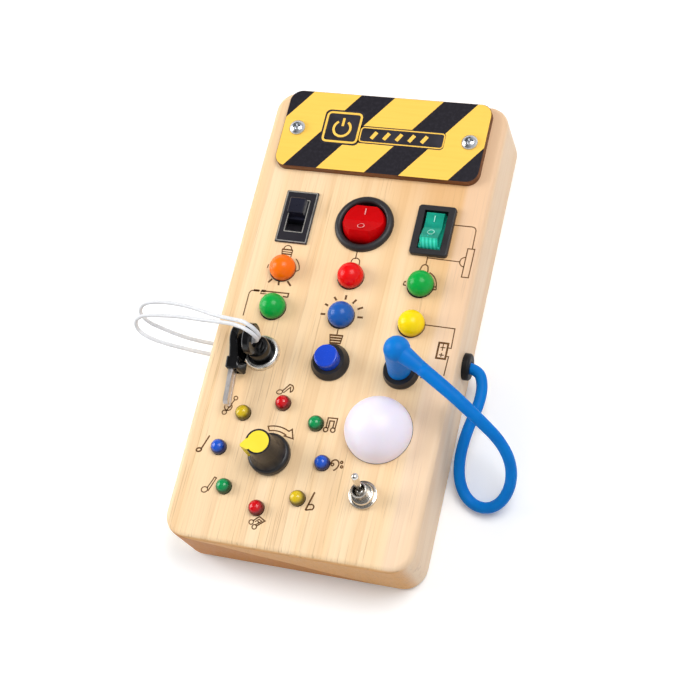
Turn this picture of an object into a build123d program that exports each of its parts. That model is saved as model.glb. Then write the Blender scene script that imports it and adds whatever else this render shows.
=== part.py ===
"""Wooden busy board: a pine block with switches, lamps, a key lock, a knob and a plug lead.

Frame: millimetres, +Z up out of the play face, +Y towards the striped sign, origin at the
centre of the underside.
"""
from build123d import *
from math import atan2, cos, degrees, hypot, pi, radians, sin, sqrt, tan
import os

# ---------------------------------------------------------------- driving dimensions (mm)
# Wooden body
board_width = 97.0
board_length = 190.0
board_height = 27.0
board_corner_radius = 9.0
board_edge_radius = 2.2
side_wall = 9.0
face_thickness = 6.0
cavity_corner_radius = 5.0
# Back cover
cover_thickness = 3.0
cover_margin = 4.0
cover_corner_radius = 6.0
fit_gap = 0.15
# Screws that hold the back and the battery door
back_screw_shank = 2.2
back_screw_head = 4.4
back_screw_length = 10.0
back_screw_inset = 11.0
back_screw_tip = 0.8
back_screw_sunk = 0.2
# Sign plate
sign_side_margin = 6.35
sign_end_margin = 1.2
sign_length = 34.6
sign_thickness = 3.0
sign_corner_radius = 5.0
sign_screw_inset = 6.35
sign_screw_head = 6.4
sign_screw_head_height = 2.1
sign_screw_shank = 2.9
sign_screw_depth = 8.0
# Layout of the play face: three columns, and rows with these free lengths between their pieces
column_middle = 0.8
column_inset = 20.5
switch_row_inset = 56.6
gap_switches_lamps = 5.3
gap_lamps = 5.4
gap_lamps_controls = 6.25
gap_controls_dome = 4.2
gap_dome_toggle = 7.1
gap_toggle_wall = 10.8
# Large and small lamps
lamp_radius = 5.0
lamp_straight = 1.0
lamp_flange_radius = 5.5
small_lamp_radius = 2.5
small_lamp_flange_radius = 2.95
small_lamp_straight = 0.7
lamp_flange_thickness = 1.2
small_lamp_depth = 5.5
small_lamp_collar = 0.3
lead_below = 3.0
lead_size = 0.5
lead_spread = 1.27
# Ring of eight small lamps round the knob
ring_side_inset = 35.0
ring_end_inset = 35.9
ring_radius = 20.7
# Circuit boards
circuit_thickness = 1.6
circuit_top = 16.9
lamp_circuit_margin = 10.0
lamp_circuit_end = 5.3
lamp_circuit_corner = 1.5
music_circuit_radius = 24.5
music_circuit_bore = 10.0
# Slide switch
slide_plate_width = 13.4
slide_plate_length = 22.6
slide_plate_thickness = 0.9
slide_window_width = 7.0
slide_window_length = 13.4
slide_window_shift = 0.4
slide_case_width = 11.4
slide_case_length = 20.0
slide_case_depth = 9.5
slide_knob_width = 6.5
slide_knob_length = 6.5
slide_knob_height = 3.6
slide_travel = 6.4
slide_foot = 1.2
# Rocker switches
rocker_swing = 12.0
rocker_pivot_drop = 1.0
rocker_end_radius = 7.8
rocker_valley = 3.3
rocker_crest = 5.0
rocker_pin_radius = 1.2
pin_clearance = 0.07
bezel_height = 2.0
round_bezel_radius = 11.8
round_barrel_radius = 9.95
round_opening_radius = 9.05
round_ball_radius = 8.75
rect_bezel_width = 15.1
rect_bezel_length = 21.0
rect_bezel_corner = 1.4
rect_barrel_width = 13.0
rect_barrel_length = 19.0
rect_opening_width = 9.4
rect_opening_length = 16.4
rect_button_width = 7.0
rect_skirt_width = 8.8
barrel_depth = 14.0
barrel_floor = 2.6
# Terminal blades under the switches and the push button
rocker_blade_width = 4.6
rocker_blade_thickness = 0.8
rocker_blade_length = 6.0
rocker_blade_pitch = 5.5
slide_blade_width = 2.2
slide_blade_thickness = 0.5
slide_blade_length = 4.0
slide_blade_pitch = 5.0
toggle_blade_width = 2.0
toggle_blade_thickness = 0.8
toggle_blade_length = 4.0
toggle_blade_pitch = 4.7
button_blade_width = 1.8
button_blade_thickness = 0.5
button_blade_length = 4.0
button_blade_pitch = 5.0
# Push button
push_bezel_radius = 7.45
push_bezel_rim = 6.1
push_bezel_height = 3.6
push_cap_radius = 4.6
push_cap_height = 7.8
push_stroke = 3.0
push_flange_radius = 5.3
thread_radius = 6.0
bushing_length = 14.5
spring_wire = 0.5
spring_turns = 4.5
# Jack and plug
jack_bezel_radius = 6.9
jack_bezel_rim = 6.2
jack_bezel_height = 3.4
plug_barrel_radius = 2.75
plug_barrel_length = 9.5
plug_barrel_bore = 1.25
jack_pin_radius = 1.05
grip_base_radius = 4.5
grip_radius = 4.9
grip_lean_x = 2.6
grip_lean_y = 1.3
grip_height = 17.2
relief_radius = 3.9
relief_end_radius = 2.55
# Lead with its grommet
lead_radius = 2.15
grommet_row_shift = 10.3
grommet_z = 13.5
grommet_flange_radius = 5.2
grommet_flange = 2.7
grommet_neck_radius = 4.2
# Key lock and keys
lock_shift_x = 0.2
lock_shift_y = 0.1
lock_ring_radius = 6.9
lock_ring_height = 1.9
lock_face_radius = 5.6
lock_cylinder_radius = 3.7
lock_cylinder_length = 14.5
key_thickness = 3.0
key_head_radius = 6.0
key_head_distance = 12.4
key_eye_radius = 3.0
key_neck_width = 6.4
key_collar_length = 5.0
key_collar_width = 7.2
key_collar_thickness = 4.4
blade_thickness = 1.8
blade_width = 4.8
blade_length = 13.8
blade_root = 4.0
key_lift = 0.5
spare_side_shift = 8.5
spare_head_shift = 1.7
spare_gap = 0.15
spare_turn = 5.0
# White tether on the keys
tether_radius = 0.75
tether_port_z = 13.5
tether_loop_radius = 2.8
tether_loop_lean = 50.0
# Knob on its potentiometer
knob_skirt_radius = 8.1
knob_skirt_height = 2.2
knob_top_radius = 4.9
knob_waist_radius = 5.5
knob_waist_rise = 7.6
knob_height = 15.6
knob_clearance = 0.6
knob_disc_radius = 4.2
knob_pointer_reach = 6.8
knob_pointer_angle = 200.0
shaft_radius = 3.0
pot_radius = 8.3
pot_depth = 8.0
pot_bushing_radius = 3.5
pot_bushing_rise = 3.2
# Dome lamp
dome_side_inset = 23.0
dome_radius = 12.7
dome_straight = 0.7
dome_wall = 1.2
dome_neck_radius = 10.0
dome_cup_depth = 4.0
dome_cup_floor = 1.6
dome_cup_wall = 1.4
# Toggle switch
toggle_side_inset = 23.2
toggle_washer_radius = 5.3
toggle_washer_thickness = 0.9
toggle_nut_flats = 8.0
toggle_nut_height = 2.1
toggle_bushing_radius = 3.0
toggle_bore_radius = 2.35
toggle_bushing_rise = 7.4
toggle_case_width = 8.0
toggle_case_length = 13.0
toggle_case_depth = 9.6
toggle_tilt = 12.0
toggle_pivot_rise = 4.2
toggle_lever_length = 11.4
toggle_tip_radius = 1.4
toggle_neck_radius = 1.0
toggle_tail_radius = 0.9
toggle_tail = 4.6
# Battery box
cell_radius = 5.25
cell_length = 44.5
cell_count = 3
cell_spacing = 0.6
battery_wall = 1.6
battery_end_room = 3.6
battery_screw_room = 8.0
battery_wall_gap = 0.2
battery_side_room = 4.05
contact_size = 7.0
contact_thickness = 0.4
contact_tongue = 3.0
contact_tongue_rise = 3.3
door_thickness = 1.8
door_gap = 0.15
door_rib_length = 16.0
door_rib_width = 0.8
door_rib_pitch = 2.0
door_rib_inset = 6.0
# Panel nuts under the push button, the jack and the lock
nut_flats = 15.0
nut_thickness = 2.2

# ---------------------------------------------------------------- derived levels
face_z = board_height
ceiling_z = board_height - face_thickness
cavity_width = board_width - 2 * side_wall
cavity_length = board_length - 2 * side_wall
left_side = -board_width / 2
right_side = board_width / 2
bottom_up = (Align.CENTER, Align.CENTER, Align.MIN)
top_down = (Align.CENTER, Align.CENTER, Align.MAX)

# ---------------------------------------------------------------- layout worked out from those sizes
column_pitch = board_width / 2 - column_inset
column_left = column_middle - column_pitch
column_right = column_middle + column_pitch
column_x = (column_left, column_middle, column_right)
row_gaps = (
    gap_switches_lamps, gap_lamps, gap_lamps_controls, gap_controls_dome, gap_dome_toggle,
    gap_toggle_wall)
row_pieces = (
    round_bezel_radius + lamp_flange_radius, 2 * lamp_flange_radius,
    lamp_flange_radius + push_bezel_radius, jack_bezel_radius + dome_radius,
    dome_radius + toggle_washer_radius, toggle_case_length / 2)
row_switches = board_length / 2 - switch_row_inset
row_stretch = (row_switches + cavity_length / 2 - sum(row_pieces)) / sum(row_gaps)


def row_below(row, step):
    """The next row towards -Y: room for both rows' pieces and their share of the free length."""
    return row - row_pieces[step] - row_stretch * row_gaps[step]


row_lamps_upper = row_below(row_switches, 0)
row_lamps_lower = row_below(row_lamps_upper, 1)
row_controls = row_below(row_lamps_lower, 2)
dome_x = right_side - dome_side_inset
dome_y = row_below(row_controls, 3)
toggle_x = right_side - toggle_side_inset
toggle_y = row_below(dome_y, 4)
ring_x = left_side + ring_side_inset
ring_y = ring_end_inset - board_length / 2
lock_x = column_left + lock_shift_x
lock_y = row_controls + lock_shift_y
spare_x = lock_x - spare_side_shift
spare_head_y = lock_y + spare_head_shift
grommet_y = row_controls + grommet_row_shift
sign_width = board_width - 2 * sign_side_margin
sign_y = board_length / 2 - sign_end_margin - sign_length / 2
sign_screw_x = sign_width / 2 - sign_screw_inset
lamp_circuit_width = 2 * (column_pitch + lamp_circuit_margin)
lamp_circuit_length = row_lamps_upper - row_lamps_lower + 2 * lamp_circuit_end


# ---------------------------------------------------------------- helpers
def rod(radius, z_low, z_high, x=0.0, y=0.0):
    """Upright cylinder between two heights."""
    return Pos(x, y, z_low) * Cylinder(radius, z_high - z_low, align=bottom_up)


def ring(outer, inner, z_low, z_high, x=0.0, y=0.0):
    """Upright tube between two heights."""
    return rod(outer, z_low, z_high, x, y) - rod(inner, z_low, z_high, x, y)


def slab(width, length, z_low, z_high, x=0.0, y=0.0, corner=0.0):
    """Upright block with optional round vertical corners."""
    outline = RectangleRounded(width, length, corner) if corner else Rectangle(width, length)
    return Pos(x, y, z_low) * extrude(outline, z_high - z_low)


def turned(profile, x=0.0, y=0.0):
    """Solid of revolution about an upright axis from a closed wire drawn in the XZ plane."""
    return Pos(x, y, 0) * revolve(make_face(profile), Axis.Z)


def hexagon(flats, z_low, z_high, x, y, bore):
    """Hexagonal nut with a bore."""
    body = Pos(x, y, z_low) * extrude(RegularPolygon(flats / 2, 6, major_radius=False), z_high - z_low)
    return body - rod(bore, z_low, z_high, x, y)


def save(name, *solids):
    """Write one node as a STEP file."""
    shape = solids[0] if len(solids) == 1 else Compound(children=list(solids))
    shape.label = name
    export_step(shape, f"parts/{name}.step")


# ---------------------------------------------------------------- fasteners
def back_screw_places():
    """Six screws in the cover's rim and one in the battery door: (x, y)."""
    rim_x = (cavity_width + board_width - 2 * cover_margin) / 4
    rim_y = board_length / 2 - back_screw_inset
    places = [(side * rim_x, row * rim_y) for side in (-1, 1) for row in (-1, 0, 1)]
    return places + [(door_screw_x(), battery_y())]


def back_screw(x, y):
    """Countersunk screw, head down at the underside."""
    head_drop = (back_screw_head - back_screw_shank) / 2
    shank = back_screw_shank / 2
    head = back_screw_head / 2
    sunk = back_screw_sunk
    profile = Polyline(
        (0, sunk), (head, sunk), (shank, sunk + head_drop),
        (shank, back_screw_length - back_screw_tip), (0, back_screw_length), close=True)
    body = turned(Plane.XZ * profile, x, y)
    slot = Pos(x, y, sunk) * Box(back_screw_head * 0.6, 0.6, 1.4)
    cross = Pos(x, y, sunk) * Box(0.6, back_screw_head * 0.6, 1.4)
    return body - slot - cross


def back_screw_hole(x, y):
    """The bore that the screw fills, with room under its head."""
    head_drop = (back_screw_head - back_screw_shank) / 2
    shank = back_screw_shank / 2
    head = back_screw_head / 2
    profile = Polyline(
        (0, 0), (head, 0), (head, back_screw_sunk), (shank, back_screw_sunk + head_drop),
        (shank, back_screw_length), (0, back_screw_length), close=True)
    return turned(Plane.XZ * profile, x, y)


def sign_screw(x):
    """Pan-head screw with a cross recess."""
    seat = face_z + sign_thickness
    head = sign_screw_head / 2
    shank = sign_screw_shank / 2
    with BuildLine(Plane.XZ) as profile:
        Line((0, seat - sign_screw_depth), (shank, seat - sign_screw_depth))
        Line((shank, seat - sign_screw_depth), (shank, seat))
        Line((shank, seat), (head, seat))
        Line((head, seat), (head, seat + 0.7))
        ThreePointArc((head, seat + 0.7), (head * 0.62, seat + 1.75), (0, seat + sign_screw_head_height))
        Line((0, seat + sign_screw_head_height), (0, seat - sign_screw_depth))
    body = turned(profile.line, x, sign_y)
    recess = Box(3.4, 0.8, 2.4) + Box(0.8, 3.4, 2.4)
    return body - Pos(x, sign_y, seat + sign_screw_head_height) * recess


# ---------------------------------------------------------------- wooden parts
def wooden_body():
    """Pine block, hollowed from below, with every opening of the play face."""
    block = slab(board_width, board_length, 0, board_height, corner=board_corner_radius)
    rims = block.edges().group_by(Axis.Z)[-1] + block.edges().group_by(Axis.Z)[0]
    block = fillet(rims, board_edge_radius)
    cavity = slab(cavity_width, cavity_length, 0, ceiling_z, corner=cavity_corner_radius)
    rebate = slab(
        board_width - 2 * cover_margin + 2 * fit_gap, board_length - 2 * cover_margin + 2 * fit_gap,
        0, cover_thickness, corner=cover_corner_radius + fit_gap)
    block = block - cavity - rebate
    low, high = ceiling_z, face_z
    holes = [
        slab(slide_case_width + 0.2, slide_case_length + 0.2, low, high, column_left, row_switches),
        rod(round_barrel_radius + 0.1, low, high, column_middle, row_switches),
        slab(rect_barrel_width + 0.2, rect_barrel_length + 0.2, low, high, column_right, row_switches),
        rod(thread_radius + 0.1, low, high, column_middle, row_controls),
        rod(thread_radius + 0.1, low, high, column_right, row_controls),
        rod(thread_radius + 0.1, low, high, lock_x, lock_y),
        rod(pot_bushing_radius + 0.1, low, high, ring_x, ring_y),
        rod(dome_neck_radius + 0.1, low, high, dome_x, dome_y),
        rod(toggle_bushing_radius + 0.1, low, high, toggle_x, toggle_y),
    ]
    holes += [rod(lamp_radius + 0.1, low, high, x, y) for x, y in large_lamp_places()]
    holes += [rod(small_lamp_flange_radius + 0.1, low, high, x, y) for x, y in small_lamp_places()]
    holes += [rod(sign_screw_shank / 2, low, high, side * sign_screw_x, sign_y) for side in (-1, 1)]
    holes += [back_screw_hole(x, y) for x, y in back_screw_places()[:-1]]
    side_bore = Pos(board_width / 2 - side_wall, grommet_y, grommet_z) * Rot(0, 90, 0)
    holes.append(side_bore * Cylinder(grommet_neck_radius, side_wall, align=bottom_up))
    for port_y in tether_port_rows():
        port = Pos(-board_width / 2, port_y, tether_port_z) * Rot(0, 90, 0)
        holes.append(port * Cylinder(tether_radius, side_wall, align=bottom_up))
    return block - holes


def back_cover():
    """Plywood cover in the rebate, open round the battery box."""
    cover = slab(
        board_width - 2 * cover_margin, board_length - 2 * cover_margin, 0, cover_thickness,
        corner=cover_corner_radius)
    window = slab(
        battery_outer_width() + 2 * fit_gap, battery_outer_length() + 2 * fit_gap, 0, cover_thickness,
        battery_x(), battery_y(), corner=1.5)
    screws = [back_screw_hole(x, y) for x, y in back_screw_places()[:-1]]
    return cover - window - screws


def sign_plate():
    """Thin plate on the face at the +Y end."""
    plate = slab(
        sign_width, sign_length, face_z, face_z + sign_thickness, 0, sign_y, corner=sign_corner_radius)
    plate = chamfer(plate.edges().group_by(Axis.Z)[-1], 0.25)
    for side in (-1, 1):
        plate -= rod(sign_screw_shank / 2, face_z, face_z + sign_thickness, side * sign_screw_x, sign_y)
    return plate


# ---------------------------------------------------------------- lamps and circuits
def large_lamp_places():
    upper = [(x, row_lamps_upper) for x in column_x]
    return upper + [(x, row_lamps_lower) for x in column_x]


def small_lamp_places():
    """Eight lamps, counter-clockwise from +X."""
    steps = [radians(45 * k) for k in range(8)]
    return [(ring_x + ring_radius * cos(a), ring_y + ring_radius * sin(a)) for a in steps]


def lamp(x, y, radius, straight, flange_radius, flange_low, flange_high):
    """Round-topped lamp whose dome stands out of the face, flange included."""
    centre = face_z + straight
    body = rod(radius, flange_low, centre, x, y) + Pos(x, y, centre) * Sphere(radius)
    body += rod(flange_radius, flange_low, flange_high, x, y)
    return body - rod(radius * 2, 0, flange_low, x, y)


def large_lamp(index):
    x, y = large_lamp_places()[index]
    return lamp(x, y, lamp_radius, lamp_straight, lamp_flange_radius, ceiling_z - lamp_flange_thickness,
                ceiling_z)


def small_lamp(index):
    x, y = small_lamp_places()[index]
    return lamp(
        x, y, small_lamp_radius, small_lamp_straight, small_lamp_flange_radius,
        face_z - small_lamp_depth, face_z + small_lamp_collar)


def lamp_leads():
    """Two square wires under each lamp, down through its circuit board."""
    leads = []
    lamps = [(x, y, ceiling_z - lamp_flange_thickness) for x, y in large_lamp_places()]
    lamps += [(x, y, face_z - small_lamp_depth) for x, y in small_lamp_places()]
    for x, y, top in lamps:
        for side in (-1, 1):
            leads.append(slab(lead_size, lead_size, circuit_top - lead_below, top, x + side * lead_spread, y))
    return leads


def lead_holes(places, z_low, z_high):
    return [
        slab(lead_size, lead_size, z_low, z_high, x + side * lead_spread, y)
        for x, y in places for side in (-1, 1)]


def lamp_circuit_board():
    """Strip under the six large lamps."""
    y = (row_lamps_upper + row_lamps_lower) / 2
    low = circuit_top - circuit_thickness
    board = slab(lamp_circuit_width, lamp_circuit_length, low, circuit_top, column_middle, y,
                 corner=lamp_circuit_corner)
    return board - lead_holes(large_lamp_places(), low, circuit_top)


def music_circuit_board():
    """Round board under the ring of small lamps, open round the potentiometer."""
    low = circuit_top - circuit_thickness
    board = ring(music_circuit_radius, music_circuit_bore, low, circuit_top, ring_x, ring_y)
    return board - lead_holes(small_lamp_places(), low, circuit_top)


# ---------------------------------------------------------------- slide switch
def slide_window_y():
    return row_switches + slide_window_shift


def slide_switch_plate():
    """Flat frame with the slider's window."""
    top = face_z + slide_plate_thickness
    plate = slab(slide_plate_width, slide_plate_length, face_z, top, column_left, row_switches, corner=0.4)
    plate = chamfer(plate.edges().group_by(Axis.Z)[-1], 0.3)
    return plate - slab(
        slide_window_width, slide_window_length, face_z, top, column_left, slide_window_y())


def slide_switch_body():
    """Case under the plate with the slider's channel."""
    case = slab(slide_case_width, slide_case_length, face_z - slide_case_depth, face_z, column_left,
                row_switches)
    channel = slab(
        slide_window_width + 2 * slide_foot, slide_window_length + 2 * slide_foot, face_z - 5.0, face_z,
        column_left, slide_window_y())
    return case - channel


def slide_switch_knob():
    """Slider at the +Y end of its window, with a foot held under the plate."""
    y = slide_window_y() + (slide_window_length - slide_knob_length) / 2 - 0.25
    top = face_z + slide_plate_thickness + slide_knob_height
    stem = slab(slide_knob_width, slide_knob_length, face_z - 2.0, top, column_left, y, corner=0.5)
    stem = chamfer(stem.edges().group_by(Axis.Z)[-1], 0.35)
    foot = slab(
        slide_window_width + 2 * slide_foot - 0.3, slide_knob_length + 2 * slide_foot - 0.3,
        face_z - 4.9, face_z - 0.2, column_left, y)
    return stem + foot


# ---------------------------------------------------------------- rocker switches
def rocker_profile():
    """Side view about the pivot: a shallow V on top between two ends that are arcs about the pivot."""
    crest = sqrt(rocker_end_radius ** 2 - rocker_crest ** 2)
    base = -3.2
    foot = sqrt(rocker_end_radius ** 2 - base ** 2)
    middle = (rocker_end_radius, 0)
    with BuildLine() as outline:
        Polyline((-crest, rocker_crest), (0, rocker_valley), (crest, rocker_crest))
        ThreePointArc((crest, rocker_crest), middle, (foot, base))
        Line((foot, base), (-foot, base))
        ThreePointArc((-foot, base), (-middle[0], 0), (-crest, rocker_crest))
    return outline.line


def rocker_blank(width):
    """The side profile made solid across a width, about the X axis."""
    face = make_face(Plane.YZ * rocker_profile())
    return extrude(face, width / 2, both=True)


def rocker_pins(reach):
    return Rot(0, 90, 0) * Cylinder(rocker_pin_radius, 2 * reach)


def rocker_marks(button, offset):
    """Raised stroke on the +Y half and raised ring on the -Y half."""
    lean = degrees(atan2(rocker_crest - rocker_valley, sqrt(rocker_end_radius ** 2 - rocker_crest ** 2)))
    height = rocker_valley + offset * tan(radians(lean))
    stroke = Pos(0, offset, height) * Rot(lean, 0, 0) * Box(0.55, 2.6, 0.3)
    hoop = Pos(0, -offset, height) * Rot(-lean, 0, 0) * (Cylinder(1.6, 0.3) - Cylinder(1.0, 0.3))
    return button + stroke + hoop


def round_rocker_button():
    """Round rocker, a slice of a ball about its pivot, with its +Y end pressed."""
    button = rocker_blank(2 * round_ball_radius) & Sphere(round_ball_radius)
    button = rocker_marks(button, 3.6) + rocker_pins(round_barrel_radius - 0.1)
    pivot = Pos(column_middle, row_switches, face_z - rocker_pivot_drop)
    return pivot * Rot(-rocker_swing, 0, 0) * button


def rect_rocker_button():
    """Narrow rocker on a wider skirt, with its +Y end pressed."""
    upper = rocker_blank(rect_button_width)
    below_crest = 2 * (rocker_valley - 0.3)
    room = Box(2 * rect_skirt_width, 4 * rocker_end_radius, 4 * rocker_end_radius)
    skirt = rocker_blank(rect_skirt_width) & Pos(0, 0, below_crest / 4 - 2 * rocker_end_radius) * room
    button = rocker_marks(upper + skirt, 3.4) + rocker_pins(rect_opening_width / 2 + 1.2)
    pivot = Pos(column_right, row_switches, face_z - rocker_pivot_drop)
    return pivot * Rot(-rocker_swing, 0, 0) * button


def round_rocker_housing():
    """Snap-in barrel with a rolled bezel."""
    low = face_z - barrel_depth
    rim = face_z + bezel_height
    crown = (round_bezel_radius + round_opening_radius) / 2
    with BuildLine(Plane.XZ) as profile:
        Polyline(
            (0, low), (round_barrel_radius, low), (round_barrel_radius, face_z),
            (round_bezel_radius, face_z), (round_bezel_radius, face_z + 0.6))
        ThreePointArc(
            (round_bezel_radius, face_z + 0.6), (crown + 0.7, rim - 0.15), (crown - 0.3, rim + 0.2))
        ThreePointArc(
            (crown - 0.3, rim + 0.2), (round_opening_radius + 0.4, rim - 0.1),
            (round_opening_radius, rim - 0.7))
        Polyline(
            (round_opening_radius, rim - 0.7), (round_opening_radius, low + barrel_floor),
            (0, low + barrel_floor), (0, low))
    housing = turned(profile.line, column_middle, row_switches)
    bearing = Pos(column_middle, row_switches, face_z - rocker_pivot_drop) * Rot(0, 90, 0)
    return housing - bearing * Cylinder(rocker_pin_radius + pin_clearance, 2 * round_barrel_radius)


def rect_rocker_housing():
    """Snap-in case with a flat bezel and a slot for the narrow rocker."""
    low = face_z - barrel_depth
    rim = face_z + bezel_height
    x, y = column_right, row_switches
    bezel = slab(rect_bezel_width, rect_bezel_length, face_z, rim, x, y, corner=rect_bezel_corner)
    bezel = fillet(bezel.edges().group_by(Axis.Z)[-1], 0.6)
    housing = bezel + slab(rect_barrel_width, rect_barrel_length, low, face_z, x, y)
    well = slab(rect_opening_width, rect_opening_length, low + barrel_floor, rim, x, y)
    bearing = Pos(x, y, face_z - rocker_pivot_drop) * Rot(0, 90, 0)
    reach = 2 * (rect_opening_width / 2 + 1.3)
    return housing - well - bearing * Cylinder(rocker_pin_radius + pin_clearance, reach)


def blade_row(width, thickness, length, pitch, top, x, y):
    """Three flat blades in line under a switch."""
    return [slab(width, thickness, top - length, top, x, y + step * pitch) for step in (-1, 0, 1)]


def switch_terminals():
    """Flat blades under the switches and the push button and jack."""
    rocker = (rocker_blade_width, rocker_blade_thickness, rocker_blade_length, rocker_blade_pitch)
    slide = (slide_blade_width, slide_blade_thickness, slide_blade_length, slide_blade_pitch)
    toggle = (toggle_blade_width, toggle_blade_thickness, toggle_blade_length, toggle_blade_pitch)
    blades = blade_row(*rocker, face_z - barrel_depth, column_middle, row_switches)
    blades += blade_row(*rocker, face_z - barrel_depth, column_right, row_switches)
    blades += blade_row(*slide, face_z - slide_case_depth, column_left, row_switches)
    blades += blade_row(*toggle, ceiling_z - toggle_case_depth, toggle_x, toggle_y)
    top = face_z - bushing_length
    for x in (column_middle, column_right):
        for side in (-1, 1):
            place = x + side * button_blade_pitch / 2
            size = (button_blade_width, button_blade_thickness)
            blades.append(slab(*size, top - button_blade_length, top, place, row_controls))
    return blades


# ---------------------------------------------------------------- push button, jack and nuts
def panel_profile(bezel_radius, rim_radius, height, bore_steps, floor):
    """Half section of a panel fitting: tapered bezel, threaded bushing and a stepped blind bore.

    bore_steps lists (radius, z_low) from the mouth down.
    """
    low = face_z - bushing_length
    top = face_z + height
    points = [
        (0, low), (thread_radius, low), (thread_radius, face_z), (bezel_radius, face_z),
        (bezel_radius, face_z + 0.9), (rim_radius, top)]
    level = top
    for radius, z_low in bore_steps:
        points += [(radius, level), (radius, z_low)]
        level = z_low
    points += [(0, floor)]
    return Plane.XZ * Polyline(*points, close=True)


def push_button_bezel():
    """Tapered ring on a threaded bushing, bored for the cap and its flange."""
    floor = face_z - bushing_length + 1.6
    steps = [(push_cap_radius + 0.1, face_z - 0.6), (push_flange_radius + 0.1, floor)]
    profile = panel_profile(push_bezel_radius, push_bezel_rim, push_bezel_height, steps, floor)
    body = turned(profile, column_middle, row_controls)
    return body


def push_button_cap():
    """Blue cap with the flange that holds it in."""
    flange_top = face_z - 0.6 - 0.05
    cap = rod(push_cap_radius, flange_top - 1.4, face_z + push_cap_height, column_middle, row_controls)
    cap = fillet(cap.edges().group_by(Axis.Z)[-1], 0.7)
    cap += rod(push_flange_radius, flange_top - 1.4, flange_top, column_middle, row_controls)
    return cap


def push_button_spring():
    """Return spring between the cap's flange and the bushing's floor."""
    low = face_z - bushing_length + 1.6
    high = face_z - 0.6 - 0.05 - 1.4
    height = high - low - spring_wire
    radius = 3.6
    path = Helix(height / spring_turns, height, radius)
    section = (path ^ 0) * RegularPolygon(spring_wire / 2, 6)
    coil = sweep(section, path, is_frenet=True)
    return Pos(column_middle, row_controls, low + spring_wire / 2) * coil


def jack_socket():
    """Round socket with a centre pin, on the same kind of bushing."""
    floor = face_z - bushing_length + 1.6
    steps = [(plug_barrel_radius + 0.1, floor)]
    profile = panel_profile(jack_bezel_radius, jack_bezel_rim, jack_bezel_height, steps, floor)
    body = turned(profile, column_right, row_controls)
    pin = rod(jack_pin_radius, floor - 0.5, face_z - 2.0, column_right, row_controls)
    return body + pin


def panel_nuts():
    """Three like nuts under the face: push button, jack and lock."""
    places = [(column_middle, row_controls), (column_right, row_controls), (lock_x, lock_y)]
    return [
        hexagon(nut_flats, ceiling_z - nut_thickness, ceiling_z, x, y, thread_radius) for x, y in places]


def jack_plug_barrel():
    """Hollow metal barrel that slides in the socket."""
    low = grip_low() - plug_barrel_length
    barrel = rod(plug_barrel_radius, low, grip_low(), column_right, row_controls)
    barrel = chamfer(barrel.edges().group_by(Axis.Z)[0], 0.4)
    return barrel - rod(plug_barrel_bore, low, grip_low() - 1.0, column_right, row_controls)


def grip_low():
    return face_z + jack_bezel_height + 0.25


def grip_top():
    """Centre of the ball that ends the grip."""
    return Vector(
        column_right + grip_lean_x, row_controls + grip_lean_y, grip_low() + grip_height)


def relief_direction():
    """The way the lead leaves the strain relief."""
    return (Vector(*plug_lead_route[1]) - Vector(*plug_lead_route[0])).normalized()


def jack_plug_grip():
    """Moulded elbow: a leaning grip under a ball, and a tapered strain relief towards the lead."""
    low = grip_low()
    base = Pos(column_right, row_controls, low) * Circle(grip_base_radius)
    top = grip_top()
    upper = Pos(top.X, top.Y, top.Z) * Circle(grip_radius)
    grip = loft([base, upper]) + Pos(top.X, top.Y, top.Z) * Sphere(grip_radius + 0.05)
    end = Vector(*plug_lead_route[0])
    wide = Plane(origin=top, z_dir=end - top) * Circle(relief_radius)
    narrow = Plane(origin=end, z_dir=relief_direction()) * Circle(relief_end_radius)
    return grip + loft([wide, narrow])


# ---------------------------------------------------------------- lead and tether
# The routes are drawn for the real board and move with its sides and with the controls' row
drawn_half_width = 48.5
drawn_row_controls = -19.8


def carried(side, points):
    """A route moved with the board's left (-1) or right (1) side and with the controls' row."""
    shift = side * (board_width / 2 - drawn_half_width)
    return [(x + shift, y + row_controls - drawn_row_controls, z) for x, y, z in points]


plug_lead_route = carried(1, [
    (41.6, -24.1, 46.7),
    (53.0, -30.7, 44.4),
    (58.5, -34.0, 41.1),
])
side_lead_route = carried(1, [
    (58.5, -34.0, 41.1),
    (64.0, -37.3, 37.8),
    (71.2, -41.4, 29.8),
    (75.0, -46.4, 21.1),
    (75.0, -52.4, 13.4),
    (71.8, -57.7, 7.4),
    (66.6, -60.3, 3.9),
    (60.8, -59.6, 2.5),
    (56.1, -56.2, 3.6),
    (53.5, -50.4, 6.9),
    (53.3, -43.0, 10.6),
    (54.7, -33.6, 13.1),
    (57.3, -24.4, 13.5),
    (57.9, -15.8, 13.5),
    (54.6, -9.5, 13.5),
    (45.5, -9.5, 13.5),
])


def route_radii(route):
    """Radius of the arc at each inner point: 0.45 of the shorter run over tan(half turn)."""
    radii = []
    for before, here, after in zip(route, route[1:], route[2:]):
        into = Vector(*here) - Vector(*before)
        out = Vector(*after) - Vector(*here)
        half = radians(into.get_angle(out)) / 2
        radii.append(0.45 * min(into.length, out.length) / tan(half))
    return radii


def cord_tube(name, route, radius):
    """Round cord along straight runs joined by arcs."""
    radii = route_radii(route)
    path = FilletPolyline(*route, radius=radii)
    start = path ^ 0
    tube = sweep(start * Circle(radius), path)
    expected = pi * radius ** 2 * path.length
    print(name, "length", round(path.length, 1), "volume ratio", round(tube.volume / expected, 3))
    print("  radii", [round(r, 1) for r in radii])
    return tube


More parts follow.
